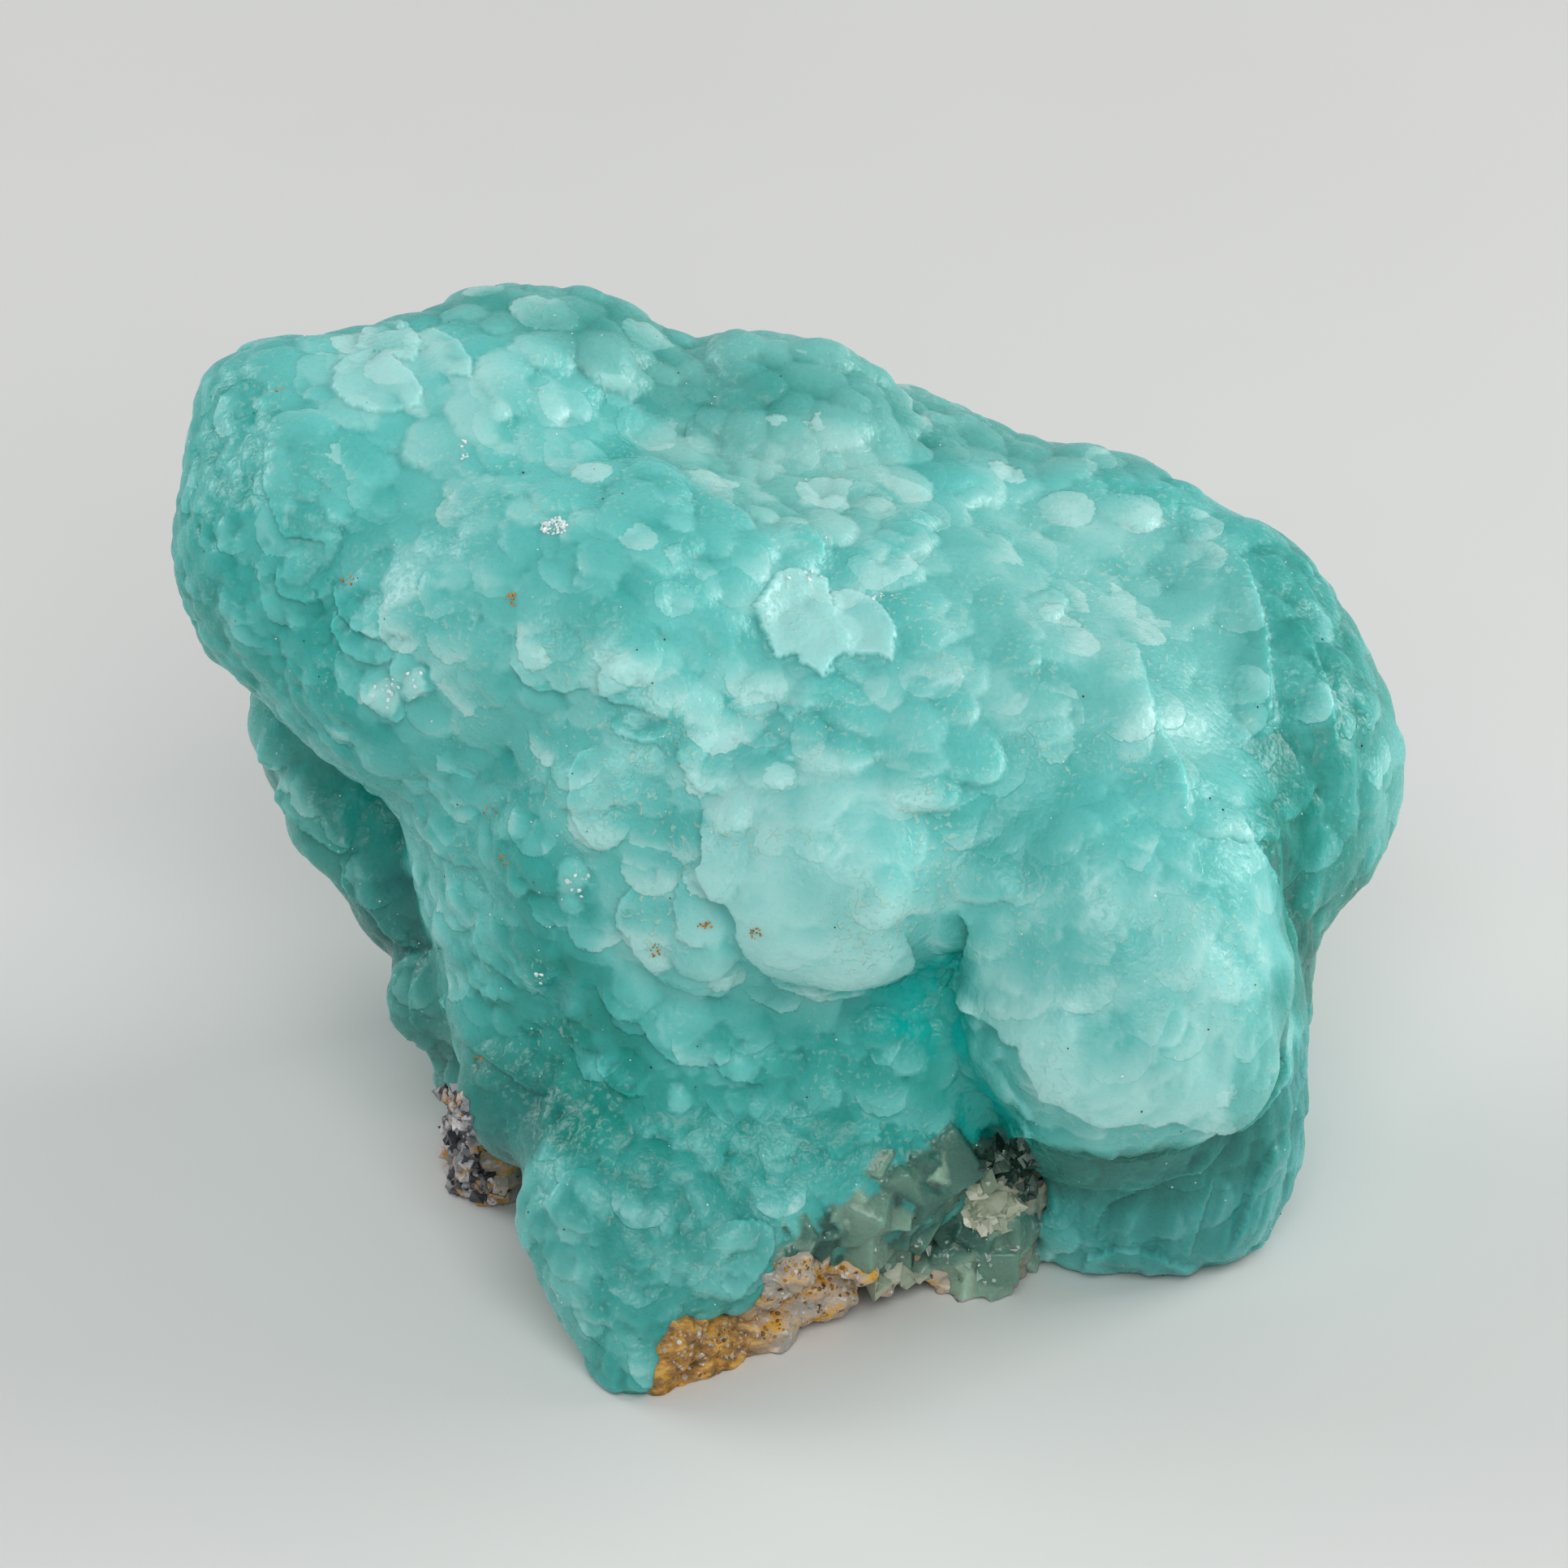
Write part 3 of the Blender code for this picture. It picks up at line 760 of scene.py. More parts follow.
    def blocks(self, skin: bpy.types.Object) -> None:
        """Sets the clear crystals half into the crust and the rock beside it.

        Args:
            skin: the skin of the crust.
        """
        master, faces = cut_block()
        rock = merged_copy("host_rock", "rock_seat")
        seat_tree = surface_tree((skin, rock))
        bpy.data.objects.remove(rock, do_unlink=True)
        face = np.array(CRYSTAL_FACE)
        lots = np.array([[self.draw.uniform(*face[:, axis][[face[:, axis].argmin(), face[:, axis].argmax()]])
                          for axis in (0, 1)] for _ in range(self.small_blocks)])
        small = tuple(Block(tuple(spot), self.draw.uniform(0.35, 0.95), self.draw.uniform(-0.30, 0.32))
                      for spot in lots[inside(CRYSTAL_FACE, lots)])
        for block in BLOCKS + small:
            found = self.view.on_surface(seat_tree, block.pixel)
            if not found:
                continue
            place, normal = found
            stretch = np.array([self.draw.uniform(0.85, 1.2) for _ in range(3)])
            angles = [self.draw.uniform(0, math.tau) for _ in range(3)]
            turn = np.array(Euler(angles).to_matrix())
            seat = np.array(place - normal * (0.35 * block.size * MM))
            places = (master * stretch * (2 * block.size * MM)) @ turn.T + seat
            self.keep(places, faces, np.full(len(places), block.pale), 1.0)

    def body(self) -> bpy.types.Object:
        """All plates as one mesh."""
        return mesh_piece("plates", np.vstack(self.points), self.faces)

    def values_at(self, places: np.ndarray, hits: np.ndarray) -> tuple[np.ndarray, np.ndarray]:
        """Reads the plates' paleness and clearness near places.

        Args:
            places: points in metres.
            hits: the number of the nearest face of the plates for each, or -1 where none is near.

        Returns:
            The paleness and the clearness, one of each for each place and 0 where no face is near.
        """
        corners = np.array([(face + face[-1:])[:4] for face in self.faces])[hits]
        gaps = np.linalg.norm(np.vstack(self.points)[corners] - places[:, None], axis=2)
        shares = (hits >= 0)[:, None] / (gaps + 0.05 * MM)
        shares /= np.maximum(shares.sum(axis=1, keepdims=True), 1.0)
        pales, clears = np.concatenate(self.pales), np.concatenate(self.clears)
        return (pales[corners] * shares).sum(axis=1), (clears[corners] * shares).sum(axis=1)


@dataclass
class Crust:
    """The smithsonite: the solid's form under its plates, in one closed skin."""

    view: PhotoView
    node: str = "smithsonite"
    base_voxel: float = 0.5
    skin_voxel: float = 0.21
    triangles: int = 196000
    openness_reach: float = 14.0
    rays: int = 32
    ragged: float = 2.2
    fibre_way: Point = (0.14, 0.0, 1.0)

    def styles(self, places: np.ndarray) -> list[Growth]:
        """The growth at each place, in metres, by the region that it is deepest in."""
        weights = np.array([region.weight(places) for region in REGIONS])
        best = weights.argmax(axis=0)
        return [REGIONS[i].growth if weights[i, k] > 0.3 else Growth.PLATES for k, i in enumerate(best)]

    def blended(self, places: np.ndarray, name: str, default: float) -> np.ndarray:
        """Blends one of the regions' values at each place.

        Args:
            places: points in metres.
            name: the value's name, such as tone.
            default: the value outside all regions.

        Returns:
            One value for each place.
        """
        total = np.full(len(places), 0.15)
        value = total * default
        for region in REGIONS:
            weight = region.weight(places)
            value += weight * getattr(region, name)
            total += weight
        return value / total

    def softened(self) -> bpy.types.Object:
        """The solid's skin without its facets."""
        skin = merged_copy(self.node, "crust_base")
        apply_modifier(skin, "SUBSURF", levels=1, render_levels=1)
        apply_modifier(skin, "REMESH", mode="VOXEL", voxel_size=self.base_voxel * MM)
        apply_modifier(skin, "SMOOTH", factor=0.5, iterations=8)
        return skin

    def openness(self, skin: bpy.types.Object, places: np.ndarray) -> np.ndarray:
        """How much of the sky each place sees, from 0 in a hole to 1 on open ground.

        Args:
            skin: the softened skin.
            places: points in metres on or near it.

        Returns:
            One value for each place.
        """
        coarse = skin.copy()
        coarse.data = skin.data.copy()
        bpy.context.scene.collection.objects.link(coarse)
        apply_modifier(coarse, "REMESH", mode="VOXEL", voxel_size=1.2 * MM)
        tree = BVHTree.FromObject(coarse, bpy.context.evaluated_depsgraph_get())
        draw = random.Random(5)
        ways = []
        for step in range(self.rays):
            lift = math.sqrt((step + 0.5) / self.rays)
            turn = step * 2.399963
            flat = math.sqrt(1 - lift * lift)
            ways.append(Vector((flat * math.cos(turn), flat * math.sin(turn), lift)))
        spots = points_of(coarse)
        facing = normals_of(coarse)
        values = np.empty(len(spots))
        lookup = KDTree(len(spots))
        for row, (spot, normal) in enumerate(zip(spots.tolist(), facing.tolist())):
            normal = Vector(normal)
            start = Vector(spot) + normal * (0.4 * MM)
            basis = normal.to_track_quat("Z", "Y") @ Euler((0, 0, draw.uniform(0, math.tau))).to_quaternion()
            free = 0.0
            for way in ways:
                _, _, _, hit = tree.ray_cast(start, basis @ way, self.openness_reach * MM)
                free += 1.0 if hit is None else 0.35 * hit / (self.openness_reach * MM)
            values[row] = free / self.rays
            lookup.insert(spot, row)
        lookup.balance()
        result = np.empty(len(places))
        for row, place in enumerate(places.tolist()):
            near = lookup.find_n(place, 4)
            shares = [1.0 / (gap + 0.0002) for _, _, gap in near]
            result[row] = sum(values[i] * s for (_, i, _), s in zip(near, shares)) / sum(shares)
        bpy.data.objects.remove(coarse, do_unlink=True)
        return result

    def flaps(self, places: np.ndarray, facing: np.ndarray,
              skin: bpy.types.Object) -> tuple[np.ndarray, np.ndarray]:
        """Works out how the traced layers lift the crust.

        Args:
            places: the crust's points in metres.
            facing: the way that the skin faces at each point.
            skin: the softened skin under it.

        Returns:
            The lift in millimetres and the paleness, which below 0 is painted shade in creases, one of each for each
            point.
        """
        tree = BVHTree.FromObject(skin, bpy.context.evaluated_depsgraph_get())
        lift = np.zeros(len(places))
        pale = np.zeros(len(places))
        shown = np.flatnonzero(self.view.seen(tree, places, 2.5))
        spots = self.view.project(places[shown])
        toward = smoothstep(0.06, 0.28, -(facing[shown] @ np.array(self.view.forward())))
        for size, share, seed in ((1.5, 1.2, 21.0), (0.5, 0.45, 31.0)):
            spots[:, 0] += self.ragged * share * noise_at(places[shown], size, seed)
            spots[:, 1] += self.ragged * share * noise_at(places[shown], size, seed + 5.0)
        for flap in FLAPS.values():
            within = np.flatnonzero(inside(flap.trace + flap.back, spots))
            if not len(within):
                continue
            edge = self.view.distance_to(flap.trace, spots[within])
            share = flap.keep + (1.0 - flap.keep) * (1.0 - smoothstep(0.0, flap.fade, edge))
            if flap.back:
                behind = (flap.trace[-1],) + flap.back + (flap.trace[0],)
                melt = min(2.4, 0.5 * flap.fade)
                share *= smoothstep(0.0, melt, self.view.distance_to(behind, spots[within]))
            share *= toward[within]
            rows = shown[within]
            step = flap.height * share
            lift[rows] = np.where(step > 0, np.maximum(lift[rows], step), lift[rows] + step)
            # The layers' paleness; below 0, in creases, it is painted shade.
            tint = flap.pale * (0.3 * toward[within] + 0.7 * share)
            pale[rows] = np.where(tint > 0, np.maximum(pale[rows], tint), pale[rows] + tint)
        return lift, pale

    def streaks(self, places: np.ndarray) -> np.ndarray:
        """Noise of about -1 to 1 at each place, drawn out along the fibres."""
        along = np.array(Vector(self.fibre_way).normalized())
        squeezed = places - np.outer(places @ along, along) * 0.88
        return noise_at(squeezed, 1.5, 17.0) + 0.5 * noise_at(squeezed, 0.6, 19.0)

    def dress_points(self, crust: bpy.types.Object, skin: bpy.types.Object, plates: Plates) -> None:
        """Lifts the traced layers and keeps at each point what the material reads.

        Args:
            crust: the crust, before it is thinned.
            skin: the softened skin under the plates.
            plates: the plates that it carries.
        """
        places = points_of(crust)
        tree = BVHTree.FromPolygons(np.vstack(plates.points).tolist(), plates.faces)
        ground = BVHTree.FromObject(skin, bpy.context.evaluated_depsgraph_get())
        hits = np.full(len(places), -1)
        facing = np.empty_like(places)
        height = np.empty(len(places))
        for row, place in enumerate(places.tolist()):
            spot = Vector(place)
            near, _, face, _ = tree.find_nearest(spot, 0.5 * MM)
            if near is not None:
                hits[row] = face
            base, normal, _, _ = ground.find_nearest(spot)
            facing[row] = normal
            height[row] = (spot - base).dot(normal) / MM
        own, clear = plates.values_at(places, hits)
        lift, pale = self.flaps(places, facing, skin)
        open_share = self.openness(skin, places)
        streaks = self.blended(places, "fibres", 0.0) * self.streaks(places)
        # Painted shade: the tone drops where the crust sees little of the sky, in hollows and crevices.
        tone = 0.50 + 0.80 * (open_share - 0.78)
        tone += self.blended(places, "tone", 0.0)
        # Painted light on raised plates and painted shade in dips, by the height over the softened skin. own and pale
        # hold the plates' and layers' own paleness together with painted edge light, root shade and crease shade.
        tone += own + pale + 0.22 * np.clip(height - 0.32, -0.5, 0.6) + 0.14 * streaks
        tone += 0.07 * noise_at(places, 9.0, 3.1) + 0.06 * noise_at(places, 2.4, 8.7)
        lift += 0.22 * streaks
        move_points(crust, places + facing * (lift * MM)[:, None])
        store_values(crust, "tone", np.clip(tone, 0.0, 1.0))
        store_values(crust, "clear", clear)
        store_values(crust, "shingles", self.blended(places, "shingles", 1.0) * (1.0 - clear))
        for name, default in (("grey", 0.05), ("blue", 0.0)):
            store_values(crust, name, np.clip(self.blended(places, name, default), 0.0, 1.0))
        # Painted glow: the light that the crust passes on in hollows, painted into its colour.
        shut = 1.0 - smoothstep(0.62, 1.0, open_share)
        store_values(crust, "glow", np.clip(shut * self.blended(places, "glow", 0.1), 0.0, 1.0))
        clusters = smoothstep(-0.15, 0.35, noise_at(places, 4.5, 12.3))
        store_values(crust, "warts", 1.6 * clusters * self.blended(places, "warts", 0.3))

    def build(self, finish: "SmithsoniteFinish") -> bpy.types.Object:
        """Models the crust and dresses it.

        Args:
            finish: its material.

        Returns:
            The finished piece.
        """
        skin = self.softened()
        log.info("base skin: %d points", len(skin.data.vertices))
        plates = Plates(skin, self.view)
        plates.scatter(skin, self)
        plates.bulbs()
        plates.blocks(skin)
        crust = plates.body()
        crust.name = crust.data.name = "smithsonite_crust"
        under = skin.copy()
        under.data = skin.data.copy()
        bpy.context.scene.collection.objects.link(under)
        select_only(crust)
        under.select_set(True)
        bpy.ops.object.join()
        apply_modifier(crust, "REMESH", mode="VOXEL", voxel_size=self.skin_voxel * MM)
        log.info("remeshed: %d faces", len(crust.data.polygons))
        self.dress_points(crust, skin, plates)
        log.info("points dressed")
        apply_modifier(crust, "SMOOTH", factor=0.35, iterations=1)
        apply_modifier(crust, "TRIANGULATE")
        apply_modifier(crust, "DECIMATE", ratio=min(1.0, self.triangles / len(crust.data.polygons)))
        places = points_of(crust)
        places[:, 2] = np.clip(places[:, 2], 0.02 * MM, None)
        move_points(crust, places)
        log.info("crust: %d triangles", len(crust.data.polygons))
        bpy.data.objects.remove(skin, do_unlink=True)
        select_only(crust)
        bpy.ops.object.shade_smooth()
        crust.data.materials.append(finish.build())
        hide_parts(self.node)
        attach(crust, "root")
        return crust


# Materials


class Nodes:
    """A short way to write a material's node tree."""

    def __init__(self, tree: bpy.types.NodeTree) -> None:
        """Keeps the tree that the nodes go in."""
        self.tree = tree

    def add(self, kind: str, **settings: object) -> bpy.types.Node:
        """Adds a node. Settings named in_NAME set the input NAME, with _ for a space."""
        node = self.tree.nodes.new(kind)
        for name, value in settings.items():
            if name.startswith("in_"):
                node.inputs[name[3:].replace("_", " ")].default_value = value
            else:
                setattr(node, name, value)
        return node

    def link(self, start: bpy.types.NodeSocket, end: bpy.types.NodeSocket) -> None:
        """Joins two sockets."""
        self.tree.links.new(start, end)

    def attribute(self, name: str) -> bpy.types.NodeSocket:
        """A value that the mesh keeps at its points."""
        return self.add("ShaderNodeAttribute", attribute_name=name).outputs["Fac"]

    def maths(self, operation: str, first: object, second: object = 0.0, clamp: bool = False) -> bpy.types.NodeSocket:
        """A sum, product or the like of two values or sockets."""
        node = self.add("ShaderNodeMath", operation=operation, use_clamp=clamp)
        for socket, value in zip(node.inputs, (first, second)):
            if isinstance(value, bpy.types.NodeSocket):
                self.link(value, socket)
            else:
                socket.default_value = value
        return node.outputs[0]

    def span(self, value: bpy.types.NodeSocket, low: float, high: float, to_low: float = 0.0,
             to_high: float = 1.0) -> bpy.types.NodeSocket:
        """Maps a value smoothly from one range to another."""
        node = self.add("ShaderNodeMapRange", interpolation_type="SMOOTHSTEP")
        for name, number in zip(("From Min", "From Max", "To Min", "To Max"), (low, high, to_low, to_high)):
            node.inputs[name].default_value = number
        self.link(value, node.inputs["Value"])
        return node.outputs["Result"]

    def mix(self, share: object, first: object, second: object, blend: str = "MIX") -> bpy.types.NodeSocket:
        """Mixes two colours by a value or socket."""
        node = self.add("ShaderNodeMix", data_type="RGBA", blend_type=blend)
        for socket, value in zip((node.inputs[0], node.inputs[6], node.inputs[7]), (share, first, second)):
            if isinstance(value, bpy.types.NodeSocket):
                self.link(value, socket)
            else:
                socket.default_value = value
        return node.outputs[2]

    def ramp(self, share: bpy.types.NodeSocket, stops: dict[float, tuple]) -> bpy.types.NodeSocket:
        """A colour ramp with a stop at each given place."""
        node = self.add("ShaderNodeValToRGB")
        elements = node.color_ramp.elements
        while len(elements) < len(stops):
            elements.new(0.5)
        for element, (place, colour) in zip(elements, sorted(stops.items())):
            element.position = place
            element.color = colour
        self.link(share, node.inputs["Fac"])
        return node.outputs["Color"]

    def noise(self, where: bpy.types.NodeSocket, size: float, detail: float = 3.0, rough: float = 0.5,
              shift: float = 0.0) -> bpy.types.NodeSocket:
        """Noise with a grain of so many millimetres."""
        node = self.add("ShaderNodeGroup", node_tree=grain_group(), in_Size=size, in_Detail=detail,
                        in_Roughness=rough, in_Shift=shift)
        self.link(where, node.inputs["Vector"])
        return node.outputs["Value"]


def grain_group() -> bpy.types.NodeTree:
    """Makes the grain that several materials use, or gives the one already made.

    Returns:
        A node group that turns a place and a size in millimetres into a value.
    """
    made = bpy.data.node_groups.get("grain")
    if made:
        return made
    group = bpy.data.node_groups.new("grain", "ShaderNodeTree")
    group.interface.new_socket("Vector", in_out="INPUT", socket_type="NodeSocketVector")
    for name in ("Size", "Detail", "Roughness", "Shift"):
        group.interface.new_socket(name, in_out="INPUT", socket_type="NodeSocketFloat")
    group.interface.new_socket("Value", in_out="OUTPUT", socket_type="NodeSocketFloat")
    nodes = Nodes(group)
    given = nodes.add("NodeGroupInput").outputs
    texture = nodes.add("ShaderNodeTexNoise", noise_dimensions="4D")
    nodes.link(nodes.maths("DIVIDE", 1.0 / MM, given["Size"]), texture.inputs["Scale"])
    for name, target in (("Vector", "Vector"), ("Detail", "Detail"), ("Roughness", "Roughness"), ("Shift", "W")):
        nodes.link(given[name], texture.inputs[target])
    nodes.link(texture.outputs["Fac"], nodes.add("NodeGroupOutput").inputs["Value"])
    return group


def colour(code: str) -> tuple[float, float, float, float]:
    """A linear colour from its six-figure code."""
    parts = [int(code[i:i + 2], 16) / 255 for i in (0, 2, 4)]
    return (*(p / 12.92 if p <= 0.04045 else ((p + 0.055) / 1.055) ** 2.4 for p in parts), 1.0)


def new_material(name: str) -> tuple[bpy.types.Material, Nodes, bpy.types.Node]:
    """A new material with its node writer and its Principled BSDF."""
    material = bpy.data.materials.new(name)
    material.use_nodes = True
    return material, Nodes(material.node_tree), material.node_tree.nodes["Principled BSDF"]


@dataclass(frozen=True)
class SmithsoniteFinish:
    """Waxy, translucent blue-green smithsonite, with painted light where it stands out and on the free edges of its
    plates, and painted shade and a painted glow in its hollows.
    """

    deepest: str = "06786e"
    deep: str = "169487"
    middle: str = "3eb0a8"
    pale: str = "6ecac4"
    palest: str = "b0e4df"
    grey_dark: str = "2a594e"
    grey_middle: str = "5d9489"
    grey_pale: str = "acd0c7"
    blue: str = "32838a"
    glow: str = "00b9b0"
    wart: str = "b4dccf"
    crystal_dark: str = "1f4d43"
    crystal_middle: str = "4c7a6d"
    crystal_light: str = "a2bfa9"
    roughness: float = 0.36
    light_reach: float = 1.3
    grain: float = 0.42
    fleck: float = 0.57
    shingle: float = 3.9

    def free_edges(self, nodes: Nodes, cells: bpy.types.Node, where: bpy.types.NodeSocket,
                   bent: bpy.types.NodeSocket) -> bpy.types.NodeSocket:
        """Draws thin plates that melt into the crust above and end in a sharp edge below.

        Args:
            nodes: the material's node writer.
            cells: the cells that the plates fill.
            where: the place on the specimen.
            bent: the same with ragged edges, as the cells are made from it.

        Returns:
            A value that rises to 1 at the free edge and is 0 past it.
        """
        away = nodes.add("ShaderNodeVectorMath", operation="SUBTRACT")
        nodes.link(bent, away.inputs[0])
        nodes.link(cells.outputs["Position"], away.inputs[1])
        down = nodes.add("ShaderNodeVectorMath", operation="MULTIPLY_ADD")
        nodes.link(where, down.inputs[0])
        down.inputs[1].default_value = (0.8, 0.5, 0.0)
        down.inputs[2].default_value = (0.0, 0.0, -0.03)
        way = nodes.add("ShaderNodeVectorMath", operation="NORMALIZE")
        nodes.link(down.outputs["Vector"], way.inputs[0])
        run = nodes.add("ShaderNodeVectorMath", operation="DOT_PRODUCT")
        nodes.link(away.outputs["Vector"], run.inputs[0])
        nodes.link(way.outputs["Vector"], run.inputs[1])
        lower = nodes.span(run.outputs["Value"], -0.15 * self.shingle * MM, 0.40 * self.shingle * MM)
        return nodes.maths("MULTIPLY", lower, nodes.span(cells.outputs["Distance"], 0.57, 0.54))

    def build(self) -> bpy.types.Material:
        """Makes the material."""
        material, nodes, shader = new_material("smithsonite")
        where = nodes.add("ShaderNodeTexCoord").outputs["Object"]
        grain = nodes.add("ShaderNodeTexNoise", noise_dimensions="3D")
        grain.inputs["Scale"].default_value = 1.0 / (self.grain * MM)
        grain.inputs["Detail"].default_value = 1.0
        nodes.link(where, grain.inputs["Vector"])
        shift = nodes.add("ShaderNodeVectorMath", operation="MULTIPLY_ADD")
        nodes.link(grain.outputs["Color"], shift.inputs[0])
        shift.inputs[1].default_value = (0.45 * MM,) * 3
        nodes.link(where, shift.inputs[2])
        bent = shift.outputs["Vector"]
        cells = nodes.add("ShaderNodeTexVoronoi", voronoi_dimensions="3D", feature="F1")
        cells.inputs["Scale"].default_value = 1.0 / (self.shingle * MM)
        nodes.link(bent, cells.inputs["Vector"])
        own = nodes.add("ShaderNodeSeparateColor")
        nodes.link(cells.outputs["Color"], own.inputs["Color"])

        clarity = nodes.attribute("shingles")
        edge = nodes.maths("MULTIPLY", self.free_edges(nodes, cells, where, bent),
                           nodes.span(own.outputs["Red"], 0.1, 0.9, 0.25, 1.0))
        # Painted light on the thin free edges of the shingles, and slight painted shade elsewhere.
        painted_shingle_light = nodes.maths("SUBTRACT", nodes.maths("MULTIPLY", edge, 0.28), 0.05)
        tone = nodes.maths("ADD", nodes.attribute("tone"), nodes.maths("MULTIPLY", painted_shingle_light, clarity))
        base = nodes.ramp(tone, {0.0: colour(self.deepest), 0.25: colour(self.deep), 0.5: colour(self.middle),
                                 0.75: colour(self.pale), 1.0: colour(self.palest)})
        dull = nodes.ramp(tone, {0.0: colour(self.grey_dark), 0.5: colour(self.grey_middle),
                                 1.0: colour(self.grey_pale)})
        base = nodes.mix(nodes.maths("MULTIPLY", nodes.attribute("grey"), 0.8), base, dull)
        base = nodes.mix(nodes.maths("MULTIPLY", nodes.attribute("blue"), 0.6), base, colour(self.blue))
        # Painted glow: hollows with a low tone take the glow colour, for light that the crust passes on.
        painted_glow_share = nodes.maths("MULTIPLY", nodes.attribute("glow"), nodes.span(tone, 0.60, 0.28))
        base = nodes.mix(painted_glow_share, base, colour(self.glow))
        crystal = nodes.ramp(tone, {0.1: colour(self.crystal_dark), 0.5: colour(self.crystal_middle),
                                    1.0: colour(self.crystal_light)})
        base = nodes.mix(nodes.attribute("clear"), base, crystal)

        fine = grain.outputs["Fac"]
        warts = nodes.maths("MULTIPLY", nodes.span(fine, self.fleck, self.fleck + 0.12),
                            nodes.attribute("warts"), clamp=True)
        base = nodes.mix(nodes.maths("MULTIPLY", warts, 0.6), base, colour(self.wart))
        nodes.link(base, shader.inputs["Base Color"])

        rough = nodes.span(fine, 0.3, 0.7, self.roughness - 0.10, self.roughness + 0.12)
        rough = nodes.maths("SUBTRACT", rough, nodes.maths("MULTIPLY", nodes.attribute("clear"), 0.14))
        nodes.link(rough, shader.inputs["Roughness"])
        relief = nodes.maths("MULTIPLY", nodes.maths("MULTIPLY", edge, 1.4), clarity)
        relief = nodes.maths("ADD", relief, nodes.maths("MULTIPLY", fine, 0.42))
        relief = nodes.maths("ADD", relief, nodes.maths("MULTIPLY", warts, 0.4))
        bump = nodes.add("ShaderNodeBump", in_Strength=0.8, in_Distance=0.22 * MM)
        nodes.link(relief, bump.inputs["Height"])
        nodes.link(bump.outputs["Normal"], shader.inputs["Normal"])

        shader.inputs["IOR"].default_value = 1.5
        shader.inputs["Specular IOR Level"].default_value = 0.40
        shader.inputs["Subsurface Weight"].default_value = 0.85
        shader.inputs["Subsurface Radius"].default_value = (0.4, 1.0, 0.92)
        shader.inputs["Subsurface Scale"].default_value = self.light_reach * MM
        return material


@dataclass(frozen=True)
class RockFinish:
    """Limonite-stained host rock: ochre and rust, with tan, grey and white grains."""

    umber: str = "5f4610"
    rust: str = "a06d0e"
    ochre: str = "dba32c"
    tan: str = "c9b192"
    grey: str = "a7a39c"
    white: str = "ddd6cb"
    dark: str = "3c3228"
    outcrop: str = "74897a"
    roughness: float = 0.8

    def build(self) -> bpy.types.Material:
        """Makes the material."""
        material, nodes, shader = new_material("host_rock")
        bedding = nodes.add("ShaderNodeMapping")
        bedding.inputs["Rotation"].default_value = (0.0, 0.3, 0.0)
        bedding.inputs["Scale"].default_value = (0.5, 1.0, 1.0)
        nodes.link(nodes.add("ShaderNodeTexCoord").outputs["Object"], bedding.inputs["Vector"])
        where = bedding.outputs["Vector"]
        broad = nodes.noise(where, 1.5, 3.0, 0.6)
        grain = nodes.noise(where, 0.6, 3.0, 0.6, 3.0)
        base = nodes.ramp(broad, {0.31: colour(self.rust), 0.38: colour(self.ochre), 0.45: colour(self.tan),
                                  0.57: colour(self.grey)})
        base = nodes.mix(nodes.span(grain, 0.56, 0.68), base, colour(self.white))
        base = nodes.mix(nodes.span(grain, 0.40, 0.30), base, colour(self.dark))
        yellow = nodes.ramp(grain, {0.36: colour(self.umber), 0.48: colour(self.rust),
                                   0.62: colour(self.ochre)})
        base = nodes.mix(nodes.maths("MULTIPLY", nodes.attribute("stain"), 0.85), base, yellow)
        base = nodes.mix(nodes.maths("MULTIPLY", nodes.attribute("dark"), 0.8), base, colour(self.dark))
        base = nodes.mix(nodes.maths("MULTIPLY", nodes.attribute("cream"), 0.85), base, colour(self.outcrop))
        nodes.link(base, shader.inputs["Base Color"])
        shader.inputs["Roughness"].default_value = self.roughness
        bump = nodes.add("ShaderNodeBump", in_Strength=0.8, in_Distance=0.25 * MM)
        nodes.link(nodes.maths("ADD", grain, broad), bump.inputs["Height"])
        nodes.link(bump.outputs["Normal"], shader.inputs["Normal"])
        return material


@dataclass(frozen=True)
class GrainFinish:
    """Small crystals and grains, each with its own shade between two or more colours."""

    name: str
    shades: tuple[str, ...]
    roughness: float = 0.4
    translucent: float = 0.0
    light_reach: float = 0.8

    def build(self) -> bpy.types.Material:
        """Makes the material."""
        material, nodes, shader = new_material(self.name)
        where = nodes.add("ShaderNodeTexCoord").outputs["Object"]
        last = max(1, len(self.shades) - 1)
        stops = {place / last: colour(shade) for place, shade in enumerate(self.shades)}
        cloud = nodes.noise(where, 0.8, 2.0)
        shade = nodes.maths("ADD", nodes.attribute("shade"), nodes.span(cloud, 0.3, 0.7, -0.12, 0.12))
        nodes.link(nodes.ramp(shade, stops), shader.inputs["Base Color"])
        rough = nodes.span(cloud, 0.3, 0.7, self.roughness * 0.7, self.roughness * 1.3)
        nodes.link(rough, shader.inputs["Roughness"])
        shader.inputs["IOR"].default_value = 1.55
        shader.inputs["Subsurface Weight"].default_value = self.translucent
        shader.inputs["Subsurface Radius"].default_value = (0.8, 1.0, 0.9)
        shader.inputs["Subsurface Scale"].default_value = self.light_reach * MM
        return material


@dataclass(frozen=True)
class FloorFinish:
    """A plain pale floor."""

    colour: str = "dcdcd9"
    roughness: float = 0.6

    def build(self) -> bpy.types.Material:
        """Makes the material."""
        material, nodes, shader = new_material("pale_floor")
        where = nodes.add("ShaderNodeTexCoord").outputs["Object"]
        base = nodes.mix(nodes.noise(where, 40.0), colour(self.colour), colour("e2e2df"))
        nodes.link(base, shader.inputs["Base Color"])
        shader.inputs["Roughness"].default_value = self.roughness
        return material


